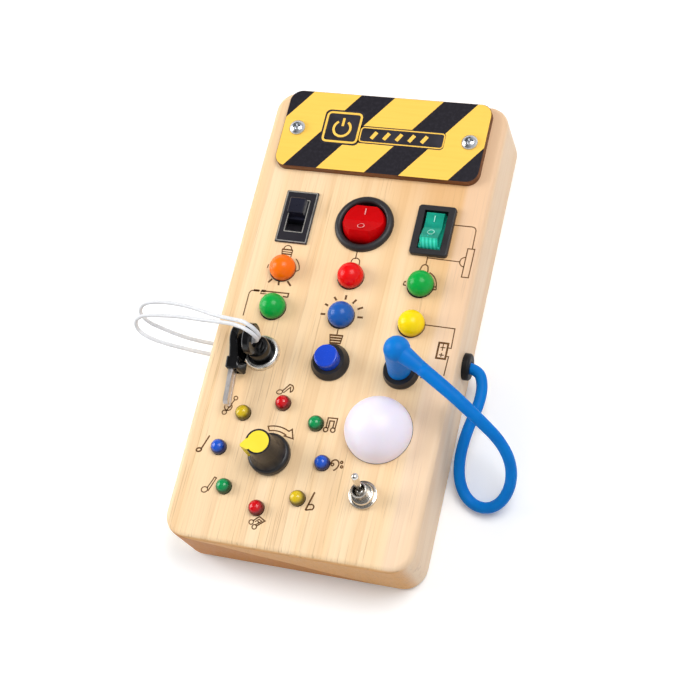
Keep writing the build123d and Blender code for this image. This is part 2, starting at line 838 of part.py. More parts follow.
def cable_grommet():
    """Rubber grommet in the right wall, with the lead through it."""
    wall = board_width / 2
    with BuildLine(Plane.XZ) as profile:
        Polyline(
            (lead_radius, -side_wall), (grommet_neck_radius, -side_wall), (grommet_neck_radius, 0),
            (grommet_flange_radius, 0), (grommet_flange_radius, grommet_flange - 0.9))
        ThreePointArc(
            (grommet_flange_radius, grommet_flange - 0.9),
            (grommet_flange_radius - 0.35, grommet_flange - 0.25),
            (grommet_flange_radius - 1.1, grommet_flange))
        Polyline(
            (grommet_flange_radius - 1.1, grommet_flange), (lead_radius, grommet_flange),
            (lead_radius, -side_wall))
    shape = revolve(make_face(profile.line), Axis.Z)
    return Pos(wall, grommet_y, grommet_z) * Rot(0, 90, 0) * shape


# ---------------------------------------------------------------- key lock
def key_lock_barrel():
    """Lock body in the face, bored for the turning cylinder."""
    low = face_z - bushing_length - 1.5
    body = rod(thread_radius, low, face_z, lock_x, lock_y)
    body += rod(lock_face_radius, face_z, face_z + lock_ring_height - 0.4, lock_x, lock_y)
    bore_low = face_z + lock_ring_height - lock_cylinder_length
    return body - rod(lock_cylinder_radius + 0.06, bore_low, face_z + lock_ring_height, lock_x, lock_y)


def key_lock_ring():
    """Polished collar round the lock's face."""
    top = face_z + lock_ring_height
    collar = ring(lock_ring_radius, lock_face_radius, face_z, top, lock_x, lock_y)
    outer = collar.edges().filter_by(GeomType.CIRCLE).group_by(Axis.Z)[-1]
    return fillet(outer.sort_by(SortBy.RADIUS)[-1:], 0.7)


def key_lock_cylinder():
    """Turning cylinder with the keyway."""
    top = face_z + lock_ring_height - 0.1
    low = face_z + lock_ring_height - lock_cylinder_length + 0.05
    cylinder = rod(lock_cylinder_radius, low, top, lock_x, lock_y)
    way = slab(blade_thickness, blade_width, top - blade_length + 0.6, top, lock_x, lock_y)
    return cylinder - way


def key_bow_shape():
    """Moulded bow in the YZ plane: collar at the origin, then a round head with its eye along +Z."""
    head = Pos(0, key_head_distance) * Circle(key_head_radius)
    neck_half = key_neck_width / 2
    shoulder = make_face(Polyline(
        (-neck_half, key_collar_length - 1.0), (neck_half, key_collar_length - 1.0),
        (key_head_radius * 0.8, key_head_distance - key_head_radius * 0.6),
        (-key_head_radius * 0.8, key_head_distance - key_head_radius * 0.6), close=True))
    body = extrude(head + shoulder, key_thickness / 2, both=True)
    rims = body.edges().group_by(Axis.Z)
    body = chamfer(rims[0] + rims[-1], 0.45)
    collar = Pos(0, key_collar_length / 2) * Box(key_collar_width, key_collar_length, key_collar_thickness)
    body += chamfer(collar.edges(), 0.5)
    body -= Pos(0, key_head_distance) * Cylinder(key_eye_radius, 2 * key_thickness)
    body = Plane.YZ * body
    return body - Box(blade_thickness, blade_width, blade_root, align=bottom_up)


def key_blade_shape():
    """Flat blade with a slanted tip and one groove, rooted inside the bow."""
    blade = Pos(0, 0, -blade_length) * Box(
        blade_thickness, blade_width, blade_length + blade_root, align=bottom_up)
    tip = blade.edges().group_by(Axis.Z)[0]
    blade = chamfer(tip.filter_by(Axis.X), 1.1)
    groove = Pos(blade_thickness / 2, 0.6, -blade_length / 2 - 0.5)
    return blade - groove * Box(0.6, 0.9, blade_length)


def lock_key_place():
    """Upright in the lock, its collar just clear of the lock's face."""
    return Pos(lock_x, lock_y, face_z + lock_ring_height + key_lift)


def spare_key_place():
    """On its edge on the face beside the lock, blade towards -Y and turned a little to +X."""
    head = Pos(spare_x, spare_head_y, face_z + spare_gap + key_head_radius)
    return head * Rot(0, 0, spare_turn) * Rot(-90, 0, 0) * Pos(0, 0, -key_head_distance)


def tether_loop():
    """Loop of cord through the lock key's eye and round its rim."""
    lean = radians(tether_loop_lean)
    middle = (key_eye_radius + key_head_radius) / 2
    level = face_z + lock_ring_height + key_lift + key_head_distance
    place = Pos(lock_x, lock_y + middle * cos(lean), level + middle * sin(lean))
    return place * Rot(tether_loop_lean, 0, 0) * Torus(tether_loop_radius, tether_radius)


# ---------------------------------------------------------------- tether
tether_upper_route = carried(-1, [
    (-43.5, -14.0, 13.5),
    (-52.0, -14.0, 13.5),
    (-64.2, -14.1, 17.0),
    (-73.8, -12.0, 18.9),
    (-80.9, -9.9, 20.4),
    (-83.9, -7.7, 22.7),
    (-82.0, -5.6, 25.3),
    (-75.8, -4.6, 27.3),
    (-66.9, -4.7, 29.0),
    (-57.4, -5.6, 30.8),
    (-48.4, -6.9, 32.9),
    (-40.6, -8.5, 35.9),
    (-34.4, -11.3, 40.4),
    (-31.2, -15.9, 45.0),
])
tether_lower_route = carried(-1, [
    (-43.5, -18.6, 13.5),
    (-52.0, -18.6, 13.5),
    (-62.8, -18.4, 16.0),
    (-71.9, -17.7, 17.6),
    (-79.0, -16.0, 18.9),
    (-83.5, -13.8, 20.5),
    (-84.0, -11.8, 22.6),
    (-80.6, -10.6, 24.7),
    (-73.4, -9.6, 26.6),
    (-64.1, -9.2, 28.5),
    (-54.6, -9.3, 30.5),
    (-46.2, -9.8, 32.4),
    (-40.4, -12.4, 33.8),
    (-37.6, -16.6, 34.2),
    (-33.6, -17.2, 35.2),
    (-31.9, -15.6, 38.8),
    (-31.3, -16.9, 43.5),
])


def tether_port_rows():
    return (tether_upper_route[0][1], tether_lower_route[0][1])


# ---------------------------------------------------------------- knob
def knob_body():
    """Black knob: round skirt, hollow underneath, flared into a slim top with a recess for its cap."""
    low = face_z + knob_clearance
    top = low + knob_height
    waist = waist_level()
    with BuildLine(Plane.XZ) as profile:
        Polyline(
            (shaft_radius, low + 4.6), (knob_skirt_radius - 1.3, low + 3.0),
            (knob_skirt_radius - 1.1, low), (knob_skirt_radius, low),
            (knob_skirt_radius, low + knob_skirt_height - 0.6))
        ThreePointArc(
            (knob_skirt_radius, low + knob_skirt_height - 0.6),
            (knob_skirt_radius - 0.35, low + knob_skirt_height + 0.3),
            (knob_skirt_radius - 1.1, low + knob_skirt_height + 0.8))
        ThreePointArc(
            (knob_skirt_radius - 1.1, low + knob_skirt_height + 0.8), (knob_waist_radius + 0.6, low + 4.7), (knob_waist_radius, waist))
        Line((knob_waist_radius, waist), (knob_top_radius, top))
        Polyline(
            (knob_top_radius, top), (knob_disc_radius, top), (knob_disc_radius, top - 1.2),
            (0, top - 1.2), (0, top - 2.2), (shaft_radius, top - 2.2), (shaft_radius, low + 4.6))
    body = turned(profile.line, ring_x, ring_y)
    fin_room = pointer_fin(0.0)
    return body - fin_room


def pointer_fin(drop):
    """Wedge from the cap's centre to its tip, running down the knob's side."""
    low = face_z + knob_clearance
    top = low + knob_height
    half = 2.1
    wedge = Polyline(
        (0, -half), (knob_top_radius - 0.6, -half), (knob_pointer_reach, -0.45),
        (knob_pointer_reach, 0.45), (knob_top_radius - 0.6, half), (0, half), close=True)
    upper = Pos(0, 0, top - 1.2) * extrude(make_face(wedge), 1.2 + drop)
    rib = Polyline(
        (knob_top_radius - 0.9, top - 0.4), (knob_pointer_reach, top - 0.4),
        (knob_pointer_reach + 0.3, top - 6.0), (knob_skirt_radius - 0.9, low + 3.4),
        (knob_waist_radius + 0.2, low + 5.2), (knob_waist_radius - 0.6, waist_level()), close=True)
    blade = extrude(make_face(Plane.XZ * rib), 0.45, both=True)
    return Pos(ring_x, ring_y, 0) * Rot(0, 0, knob_pointer_angle) * (upper + blade)


def waist_level():
    return face_z + knob_clearance + knob_waist_rise


def knob_cap():
    """Yellow cap disc with its pointer."""
    top = face_z + knob_clearance + knob_height
    disc = rod(knob_disc_radius, top - 1.2, top, ring_x, ring_y)
    return disc + pointer_fin(0.0)


def potentiometer_shaft():
    top = face_z + knob_clearance + knob_height - 2.2
    return rod(shaft_radius, ceiling_z - 3.0, top, ring_x, ring_y)


def potentiometer_body():
    """Round case with its threaded bushing."""
    case = rod(pot_radius, ceiling_z - pot_depth, ceiling_z, ring_x, ring_y)
    bushing = rod(pot_bushing_radius, ceiling_z, face_z + pot_bushing_rise, ring_x, ring_y)
    bore = rod(shaft_radius + 0.06, ceiling_z - 3.1, face_z + pot_bushing_rise, ring_x, ring_y)
    return case + bushing - bore


def potentiometer_nut():
    return hexagon(10.0, face_z, face_z + 2.0, ring_x, ring_y, pot_bushing_radius)


# ---------------------------------------------------------------- dome lamp
def dome_lens():
    """Opal half ball on a short straight rim, with a neck through the face."""
    centre = face_z + dome_straight
    inner = dome_radius - dome_wall
    with BuildLine(Plane.XZ) as profile:
        Line((dome_neck_radius, ceiling_z), (dome_neck_radius, face_z))
        Line((dome_neck_radius, face_z), (dome_radius, face_z))
        Line((dome_radius, face_z), (dome_radius, centre))
        ThreePointArc(
            (dome_radius, centre), (dome_radius * cos(pi / 4), centre + dome_radius * sin(pi / 4)),
            (0, centre + dome_radius))
        Line((0, centre + dome_radius), (0, centre + inner))
        ThreePointArc(
            (0, centre + inner), (inner * cos(pi / 4), centre + inner * sin(pi / 4)), (inner, centre))
        Polyline(
            (inner, centre), (dome_neck_radius - dome_wall, centre - 0.2),
            (dome_neck_radius - dome_wall, ceiling_z), (dome_neck_radius, ceiling_z))
    return turned(profile.line, dome_x, dome_y)


def dome_base():
    """Cup that holds the lens from below and carries its lamp."""
    low = ceiling_z - dome_cup_depth
    cup = rod(dome_neck_radius + dome_cup_wall, low, ceiling_z, dome_x, dome_y)
    return cup - rod(dome_neck_radius - dome_wall, low + dome_cup_floor, ceiling_z, dome_x, dome_y)


# ---------------------------------------------------------------- toggle switch
def toggle_switch_body():
    """Case under the face with its threaded bushing."""
    low = ceiling_z - toggle_case_depth
    case = slab(toggle_case_width, toggle_case_length, low, ceiling_z, toggle_x, toggle_y, corner=0.6)
    top = face_z + toggle_bushing_rise
    bushing = rod(toggle_bushing_radius, ceiling_z, top, toggle_x, toggle_y)
    bushing = chamfer(bushing.edges().group_by(Axis.Z)[-1], 0.3)
    return case + bushing - rod(toggle_bore_radius, ceiling_z - 1.0, top, toggle_x, toggle_y)


def toggle_switch_washer():
    low, high = face_z, face_z + toggle_washer_thickness
    return ring(toggle_washer_radius, toggle_bushing_radius, low, high, toggle_x, toggle_y)


def toggle_switch_nut():
    low = face_z + toggle_washer_thickness
    nut = hexagon(toggle_nut_flats, low, low + toggle_nut_height, toggle_x, toggle_y, toggle_bushing_radius)
    crown = rod(toggle_nut_flats / 2 * 1.1, low, low + toggle_nut_height, toggle_x, toggle_y)
    return nut & crown


def toggle_switch_lever():
    """Bat lever turned in one piece with the ball it swings on, leaning towards +Y."""
    ball = toggle_bore_radius - 0.08
    low = sqrt(ball ** 2 - toggle_tail_radius ** 2)
    high = sqrt(ball ** 2 - toggle_neck_radius ** 2)
    tip = toggle_tip_radius
    length = toggle_lever_length
    with BuildLine(Plane.XZ) as profile:
        Polyline((0, -toggle_tail), (toggle_tail_radius, -toggle_tail), (toggle_tail_radius, -low))
        ThreePointArc((toggle_tail_radius, -low), (ball, 0), (toggle_neck_radius, high))
        Line((toggle_neck_radius, high), (tip, length))
        ThreePointArc((tip, length), (tip * sin(pi / 4), length + tip * sin(pi / 4)), (0, length + tip))
        Line((0, length + tip), (0, -toggle_tail))
    pivot = Pos(toggle_x, toggle_y, face_z + toggle_pivot_rise)
    return pivot * Rot(-toggle_tilt, 0, 0) * revolve(make_face(profile.line), Axis.Z)


# ---------------------------------------------------------------- battery box
def battery_outer_width():
    return cell_length + 2 * battery_end_room + battery_screw_room + 2 * battery_wall


def battery_outer_length():
    return cell_count * 2 * cell_radius + (cell_count - 1) * cell_spacing + 1.0 + 2 * battery_wall


def battery_x():
    """The box stands this far from the inside of the +X wall."""
    return cavity_width / 2 - battery_side_room - battery_outer_width() / 2


def cells_x():
    return battery_x() - battery_screw_room / 2


def battery_y():
    """The box lies against the inside of the +Y wall."""
    return cavity_length / 2 - battery_wall_gap - battery_outer_length() / 2


def battery_top():
    return cell_axis() + cell_radius + 0.4 + battery_wall


def cell_axis():
    return door_thickness + 0.8 + cell_radius


def door_screw_x():
    return cells_x() + cell_length / 2 + battery_end_room + battery_screw_room / 2


def cell_rows():
    pitch = 2 * cell_radius + cell_spacing
    return [battery_y() + (k - (cell_count - 1) / 2) * pitch for k in range(cell_count)]


def battery_tray(inset, corner, z_low, z_high):
    """Rounded block on the box's outline, drawn in by an inset."""
    return slab(
        battery_outer_width() - 2 * inset, battery_outer_length() - 2 * inset, z_low, z_high,
        battery_x(), battery_y(), corner=corner)


def battery_box():
    """Tray that opens downwards behind its door, with a post for the door's screw."""
    high = battery_top()
    box = battery_tray(0, 1.5, 0, high)
    box -= battery_tray(battery_wall, 0.8, 0, high - battery_wall)
    box -= battery_tray(battery_wall / 2, 1.0, 0, door_thickness + 0.1)
    wall_x = cells_x() + cell_length / 2 + battery_end_room
    inner_length = battery_outer_length() - 2 * battery_wall
    box += slab(1.2, inner_length, door_thickness + 0.1, high - battery_wall, wall_x, battery_y())
    post = rod(battery_screw_room / 2 - 0.8, door_thickness + 0.1, high, door_screw_x(), battery_y())
    return box + post - back_screw_hole(door_screw_x(), battery_y())


def battery_cells():
    """Cells side by side, every other one turned round."""
    cells = []
    for index, y in enumerate(cell_rows()):
        turn = 90 if index % 2 else -90
        body = Cylinder(cell_radius, cell_length - 1.2, align=bottom_up)
        nub = Pos(0, 0, cell_length - 1.2) * Cylinder(1.9, 1.2, align=bottom_up)
        middle = Pos(0, 0, -cell_length / 2) * (body + nub)
        cells.append(Pos(cells_x(), y, cell_axis()) * Rot(0, turn, 0) * middle)
    return cells


def battery_contacts():
    """Contact strips between the cells' ends and the box."""
    strips = []
    reach = battery_end_room - 0.6
    for y in cell_rows():
        for side in (-1, 1):
            strip_x = cells_x() + side * (cell_length + contact_thickness) / 2
            strip = Box(contact_thickness, contact_size, contact_size)
            tongue_x = cells_x() + side * (cell_length + reach) / 2
            tongue = Box(reach, contact_tongue, contact_thickness)
            strips.append(
                Pos(strip_x, y, cell_axis()) * strip
                + Pos(tongue_x, y, cell_axis() + contact_tongue_rise) * tongue)
    return strips


def battery_door():
    """Door flush with the back, with grip ribs and its screw hole."""
    door = battery_tray(battery_wall / 2 + door_gap, 0.9, 0, door_thickness)
    for k in range(5):
        y = battery_y() + battery_outer_length() / 2 - door_rib_inset - door_rib_pitch * k
        door -= slab(door_rib_length, door_rib_width, 0, 0.5, battery_x(), y)
    return door - back_screw_hole(door_screw_x(), battery_y())


# ---------------------------------------------------------------- build
def build():
    os.makedirs("parts", exist_ok=True)
    save("wooden_body", wooden_body())
    save("back_cover", back_cover())
    save("back_screws", *[back_screw(x, y) for x, y in back_screw_places()])
    save("sign_plate", sign_plate())
    save("sign_screws", *[sign_screw(side * sign_screw_x) for side in (-1, 1)])
    save("slide_switch_plate", slide_switch_plate())
    save("slide_switch_body", slide_switch_body())
    save("slide_switch_knob", slide_switch_knob())
    save("round_rocker_housing", round_rocker_housing())
    save("round_rocker_button", round_rocker_button())
    save("rect_rocker_housing", rect_rocker_housing())
    save("rect_rocker_button", rect_rocker_button())
    save("switch_terminals", *switch_terminals())
    save("large_lamp_orange", large_lamp(0))
    save("large_lamp_red", large_lamp(1))
    save("large_lamps_green", large_lamp(2), large_lamp(3))
    save("large_lamp_blue", large_lamp(4))
    save("large_lamp_yellow", large_lamp(5))
    save("small_lamps_blue", small_lamp(0), small_lamp(4))
    save("small_lamps_green", small_lamp(1), small_lamp(5))
    save("small_lamps_red", small_lamp(2), small_lamp(6))
    save("small_lamps_yellow", small_lamp(3), small_lamp(7))
    save("lamp_leads", *lamp_leads())
    save("lamp_circuit_board", lamp_circuit_board())
    save("music_circuit_board", music_circuit_board())
    save("push_button_bezel", push_button_bezel())
    save("push_button_cap", push_button_cap())
    save("push_button_spring", push_button_spring())
    save("jack_socket", jack_socket())
    save("panel_nuts", *panel_nuts())
    save("jack_plug_barrel", jack_plug_barrel())
    save("jack_plug_grip", jack_plug_grip())
    save("plug_lead", cord_tube("plug_lead", plug_lead_route, lead_radius))
    save("side_lead", cord_tube("side_lead", side_lead_route, lead_radius))
    save("cable_grommet", cable_grommet())
    save("key_lock_barrel", key_lock_barrel())
    save("key_lock_ring", key_lock_ring())
    save("key_lock_cylinder", key_lock_cylinder())
    save("lock_key_bow", lock_key_place() * key_bow_shape())
    save("lock_key_blade", lock_key_place() * key_blade_shape())
    save("spare_key_bow", spare_key_place() * key_bow_shape())
    save("spare_key_blade", spare_key_place() * key_blade_shape())
    save("tether_upper", cord_tube("tether_upper", tether_upper_route, tether_radius))
    save("tether_lower", cord_tube("tether_lower", tether_lower_route, tether_radius))
    save("tether_loop", tether_loop())
    save("knob_body", knob_body())
    save("knob_cap", knob_cap())
    save("potentiometer_shaft", potentiometer_shaft())
    save("potentiometer_body", potentiometer_body())
    save("potentiometer_nut", potentiometer_nut())
    save("dome_lens", dome_lens())
    save("dome_base", dome_base())
    save("toggle_switch_body", toggle_switch_body())
    save("toggle_switch_washer", toggle_switch_washer())
    save("toggle_switch_nut", toggle_switch_nut())
    save("toggle_switch_lever", toggle_switch_lever())
    save("battery_box", battery_box())
    save("battery_cells", *battery_cells())
    save("battery_contacts", *battery_contacts())
    save("battery_door", battery_door())


build()
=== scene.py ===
"""Wooden busy board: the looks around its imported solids, laid out as a Blender add-on."""
import math

import bmesh
import bpy
import numpy as np
from bpy.props import FloatProperty, FloatVectorProperty, PointerProperty
from mathutils import Matrix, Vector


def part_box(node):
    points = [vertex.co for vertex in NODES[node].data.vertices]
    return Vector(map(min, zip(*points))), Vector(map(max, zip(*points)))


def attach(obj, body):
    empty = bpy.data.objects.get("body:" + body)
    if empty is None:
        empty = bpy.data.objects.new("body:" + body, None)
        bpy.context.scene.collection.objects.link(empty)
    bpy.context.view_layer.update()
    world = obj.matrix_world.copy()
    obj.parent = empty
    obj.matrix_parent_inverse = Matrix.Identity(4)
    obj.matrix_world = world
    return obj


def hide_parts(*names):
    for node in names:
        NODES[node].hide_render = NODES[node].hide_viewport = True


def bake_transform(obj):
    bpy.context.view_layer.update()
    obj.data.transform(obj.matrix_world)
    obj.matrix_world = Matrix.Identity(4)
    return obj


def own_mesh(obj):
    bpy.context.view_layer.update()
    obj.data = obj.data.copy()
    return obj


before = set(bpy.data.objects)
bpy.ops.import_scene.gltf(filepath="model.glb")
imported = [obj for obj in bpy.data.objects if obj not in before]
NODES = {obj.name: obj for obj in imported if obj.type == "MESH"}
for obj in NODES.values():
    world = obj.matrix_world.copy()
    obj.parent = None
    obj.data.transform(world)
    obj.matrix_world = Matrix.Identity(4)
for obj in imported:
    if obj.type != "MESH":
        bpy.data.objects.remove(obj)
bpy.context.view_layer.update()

bl_info = {
    "name": "Wooden busy board",
    "version": (1, 0, 0),
    "blender": (4, 5, 0),
    "location": "3D View > Sidebar > Busy board",
    "description": "Finishes, engraving, cords and studio for a wooden busy board",
    "category": "Add Mesh",
}

MM = 0.001
TAU = 2 * math.pi
FACE = round(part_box("wooden_body")[1].z / MM, 3)  # height of the play face, mm

# Settings of two nodes that recur: a smooth step, and a mix of two colours
SMOOTH = {"interpolation_type": "SMOOTHSTEP"}
COLOURS = {"data_type": "RGBA", "out": "Result"}


# ---------------------------------------------------------------- colour and material helpers
def srgb(code):
    """A hex colour as linear red, green and blue."""
    parts = [int(code[i:i + 2], 16) / 255 for i in (1, 3, 5)]
    return tuple(c / 12.92 if c <= 0.04045 else ((c + 0.055) / 1.055) ** 2.4 for c in parts)


def rgba(colour):
    """A colour with full opacity, from a hex code or from three linear numbers."""
    return (*(srgb(colour) if isinstance(colour, str) else colour), 1.0)


def feed(tree, node, inputs):
    """Set or link a node's inputs, by name or in order. A value is a number, a vector, a colour
    (a hex code or three linear numbers) or another node's output."""
    for key, value in (inputs.items() if isinstance(inputs, dict) else enumerate(inputs)):
        socket = node.inputs[key]
        if isinstance(value, bpy.types.NodeSocket):
            tree.links.new(value, socket)
        else:
            socket.default_value = rgba(value) if socket.type == "RGBA" else value


def add(tree, kind, inputs=(), out=0, stops=(), **settings):
    """Add one shader node with its settings and links, and give one of its outputs. Stops are the
    (place, colour) pairs of a colour ramp."""
    node = tree.nodes.new("ShaderNode" + kind)
    for name, value in settings.items():
        setattr(node, name, value)
    feed(tree, node, inputs)
    for index, (place, colour) in enumerate(stops):
        band = node.color_ramp.elements
        element = band[index] if index < len(band) else band.new(place)
        element.position, element.color = place, rgba(colour)
    return node.outputs[out]


def millimetres(tree, periods=(1.0, 1.0, 1.0), place=(0.0, 0.0, 0.0), turn=(0.0, 0.0, 0.0)):
    """Object coordinates divided by a period in millimetres on each axis."""
    return add(tree, "Mapping", {
        "Vector": add(tree, "TexCoord", out="Object"), "Location": place, "Rotation": turn,
        "Scale": tuple(1 / (MM * period) for period in periods)})


def lumps(tree, periods, detail=2.0, roughness=0.5):
    """What a noise node is fed for lumps that measure the periods, in millimetres on each axis."""
    return {"Vector": millimetres(tree, periods), "Scale": 1.0, "Detail": detail,
            "Roughness": roughness}


def layered(tree, base, *layers):
    """A base colour with others laid over it in turn, each by its (share, colour)."""
    for share, colour in layers:
        base = add(tree, "Mix", {"Factor": share, "A": base, "B": colour}, **COLOURS)
    return base


def material(name):
    """An empty procedural material with its node tree and its principled shader."""
    made = bpy.data.materials.new(name)
    made.use_nodes = True
    return made, made.node_tree, made.node_tree.nodes["Principled BSDF"]


def dress(made, *nodes):
    """Give CAD nodes a material."""
    for name in nodes:
        NODES[name].data.materials.clear()
        NODES[name].data.materials.append(made)


# ---------------------------------------------------------------- finishes
def pine_material(name, light, mid, streak, end_dark, end_light):
    """Planed pine, clear lacquered: flat-sawn grain along Y with fine grey-brown pores, denser on
    the left, and end grain on the two ends, darker because it takes more lacquer."""
    made, tree, shader = material(name)
    x, y, z = add(tree, "SeparateXYZ", [millimetres(tree)]).node.outputs
    _, to_end, to_face = add(tree, "SeparateXYZ", [add(tree, "TexCoord", out="Normal")]).node.outputs

    # Long grain: broad pale and tan bands, sawn rings and fine streaks
    broad = add(tree, "TexNoise", lumps(tree, (15.0, 300.0, 24.0)))
    bands = add(tree, "ValToRGB", [broad], stops=[(0.3, light), (0.5, mid), (0.72, light)])
    rings = add(tree, "TexWave", {
        "Vector": millimetres(tree, (46.0, 900.0, 60.0), (0.35, 0.0, 0.0)), "Scale": 1.0,
        "Distortion": 5.5, "Detail": 2.0, "Detail Scale": 0.55, "Detail Roughness": 0.45},
        out="Fac", wave_profile="SAW")
    ring_share = add(tree, "MapRange", (rings, 0.5, 1.0, 0.0, 0.26), **SMOOTH)
    fine = add(tree, "TexNoise", lumps(tree, (0.9, 70.0, 3.0), 3.0, 0.65))
    fine_share = add(tree, "MapRange", (fine, 0.44, 0.74, 0.0, 0.3), **SMOOTH)

    # Redder towards the sign and the right, on the play face alone
    slant = add(tree, "Math", (y, 0.5, x), operation="MULTIPLY_ADD")
    warm_share = add(tree, "Math", (
        add(tree, "MapRange", (slant, 14.0, 62.0, 0.0, 0.8), **SMOOTH),
        add(tree, "MapRange", (to_face, 0.3, 0.95), **SMOOTH)), operation="MULTIPLY")

    # Short pores in patches, denser towards the lower left
    pores = add(tree, "TexNoise", lumps(tree, (0.5, 26.0, 1.2), 2.0, 0.55))
    patches = add(tree, "TexNoise", lumps(tree, (9.0, 50.0, 20.0), 1.0))
    across = add(tree, "Math", (x, y), operation="ADD")
    lower_left = add(tree, "MapRange", (across, -90.0, 40.0, 0.16, 0.0), **SMOOTH)
    density = add(tree, "Math", (patches, lower_left), operation="ADD")
    pore_share = add(tree, "Math", (
        add(tree, "MapRange", (pores, 0.56, 0.68), **SMOOTH),
        add(tree, "MapRange", (density, 0.46, 0.72, 0.05, 0.46), **SMOOTH)), operation="MULTIPLY")

    # A pinker strip of sapwood along the right edge
    sap_share = add(tree, "MapRange", (x, 36.5, 39.5, 0.0, 0.45), **SMOOTH)
    long_grain = layered(tree, bands, (ring_share, streak), (fine_share, streak),
                         (warm_share, "#E2AF74"), (pore_share, "#B68E66"), (sap_share, "#F4D6BE"))

    # End grain: dark below a slanting line and light above it, with close rings and dark specks
    rise = add(tree, "Math", (x, 0.34, z), operation="MULTIPLY_ADD")
    uneven = add(tree, "TexNoise", lumps(tree, (30.0, 30.0, 10.0), 1.0))
    rise = add(tree, "Math", (uneven, 3.0, rise), operation="MULTIPLY_ADD")
    split = add(tree, "MapRange", (rise, 13.4, 14.2), **SMOOTH)
    end_rings = add(tree, "TexWave", {
        "Vector": millimetres(tree, (14.0, 60.0, 5.2), turn=(0.0, 0.33, 0.0)), "Scale": 1.0,
        "Distortion": 2.2, "Detail": 2.0, "Detail Scale": 1.2, "Detail Roughness": 0.5},
        out="Fac", bands_direction="Z", wave_profile="SAW")
    end_ring_share = add(tree, "MapRange", (end_rings, 0.5, 1.0, 0.0, 0.3), **SMOOTH)
    specks = add(tree, "TexNoise", lumps(tree, (1.6, 20.0, 0.45), 2.0, 0.6))
    speck_share = add(tree, "MapRange", (specks, 0.56, 0.75, 0.0, 0.42), **SMOOTH)
    end_grain = layered(tree, end_dark, (split, end_light), (end_ring_share, "#A05E22"),
                        (speck_share, "#84481A"))
    at_end = add(tree, "MapRange", (add(tree, "Math", [to_end], operation="ABSOLUTE"), 0.55, 0.97),
                 **SMOOTH)

    relief = add(tree, "Math", (pores, -0.5), operation="MULTIPLY")
    relief = add(tree, "Math", (fine, 0.6, relief), operation="MULTIPLY_ADD")
    feed(tree, shader, {
        "Base Color": layered(tree, long_grain, (at_end, end_grain)),
        "Roughness": add(tree, "MapRange", (fine, 0.3, 0.7, 0.42, 0.52), **SMOOTH),
        "IOR": 1.48, "Specular IOR Level": 0.3,
        "Normal": add(tree, "Bump", {"Height": relief, "Distance": 0.00006, "Strength": 0.6})})
    return made


def plywood_material(name, light, dark):
    """Birch plywood, sanded and unlacquered: pale long grain with short brown flakes, quite matt."""
    made, tree, shader = material(name)
    grain = add(tree, "TexNoise", lumps(tree, (2.4, 90.0, 3.0), 3.0, 0.55))
    flakes = add(tree, "TexNoise", lumps(tree, (0.5, 6.0, 1.0), 1.0))
    flake_share = add(tree, "MapRange", (flakes, 0.62, 0.72, 0.0, 0.3), **SMOOTH)
    base = add(tree, "ValToRGB", [grain], stops=[(0.32, light), (0.66, dark)])
    feed(tree, shader, {
        "Base Color": layered(tree, base, (flake_share, "#B98C5A")), "Roughness": 0.62, "IOR": 1.45,
        "Normal": add(tree, "Bump", {"Height": grain, "Distance": 0.00005, "Strength": 0.5})})
    return made


def sign_material(name, yellow, black, bottom, left, pitch, stripe, slope):
    """Laser-cut birch plywood with a printed face: yellow with slanting black stripes, and brown
    charred edges. A stripe is where the remainder of (x minus slope times y) by the pitch is less
    than the stripe's width, all in millimetres."""
    made, tree, shader = material(name)
    x, y, _ = add(tree, "SeparateXYZ", [millimetres(tree)]).node.outputs
    up = add(tree, "SeparateXYZ", [add(tree, "TexCoord", out="Normal")], out="Z")
    rise = add(tree, "Math", (y, bottom), operation="SUBTRACT")
    along = add(tree, "Math", (rise, -slope, x), operation="MULTIPLY_ADD")
    along = add(tree, "Math", (along, left), operation="SUBTRACT")
    remainder = add(tree, "Math", (along, pitch), operation="FLOORED_MODULO")
    inside = add(tree, "Math", (remainder, stripe), operation="LESS_THAN")
    weave = add(tree, "TexNoise", lumps(tree, (1.2, 1.2, 1.2), 3.0, 0.7))
    grain = add(tree, "TexNoise", lumps(tree, (30.0, 1.6, 3.0), 2.0, 0.6))
    worn_share = add(tree, "MapRange", (grain, 0.35, 0.75, 0.0, 0.28), **SMOOTH)
    faded_share = add(tree, "MapRange", (weave, 0.45, 0.72, 0.0, 0.45), **SMOOTH)
    paint = layered(tree, yellow, (worn_share, "#F8C04A"))
    ink = layered(tree, black, (faded_share, "#322F39"))
    ply_share = add(tree, "MapRange", (grain, 0.3, 0.7), **SMOOTH)
    charred = layered(tree, "#5A3218", (ply_share, "#7C4A26"))
    on_face = add(tree, "MapRange", (up, 0.80, 0.95), **SMOOTH)
    feed(tree, shader, {
        "Base Color": layered(tree, charred, (on_face, layered(tree, paint, (inside, ink)))),
        "Roughness": add(tree, "MapRange", (weave, 0.3, 0.7, 0.38, 0.5), **SMOOTH),
        "IOR": 1.48, "Specular IOR Level": 0.3,
        "Normal": add(tree, "Bump", {"Height": weave, "Distance": 0.00003, "Strength": 0.4})})
    return made


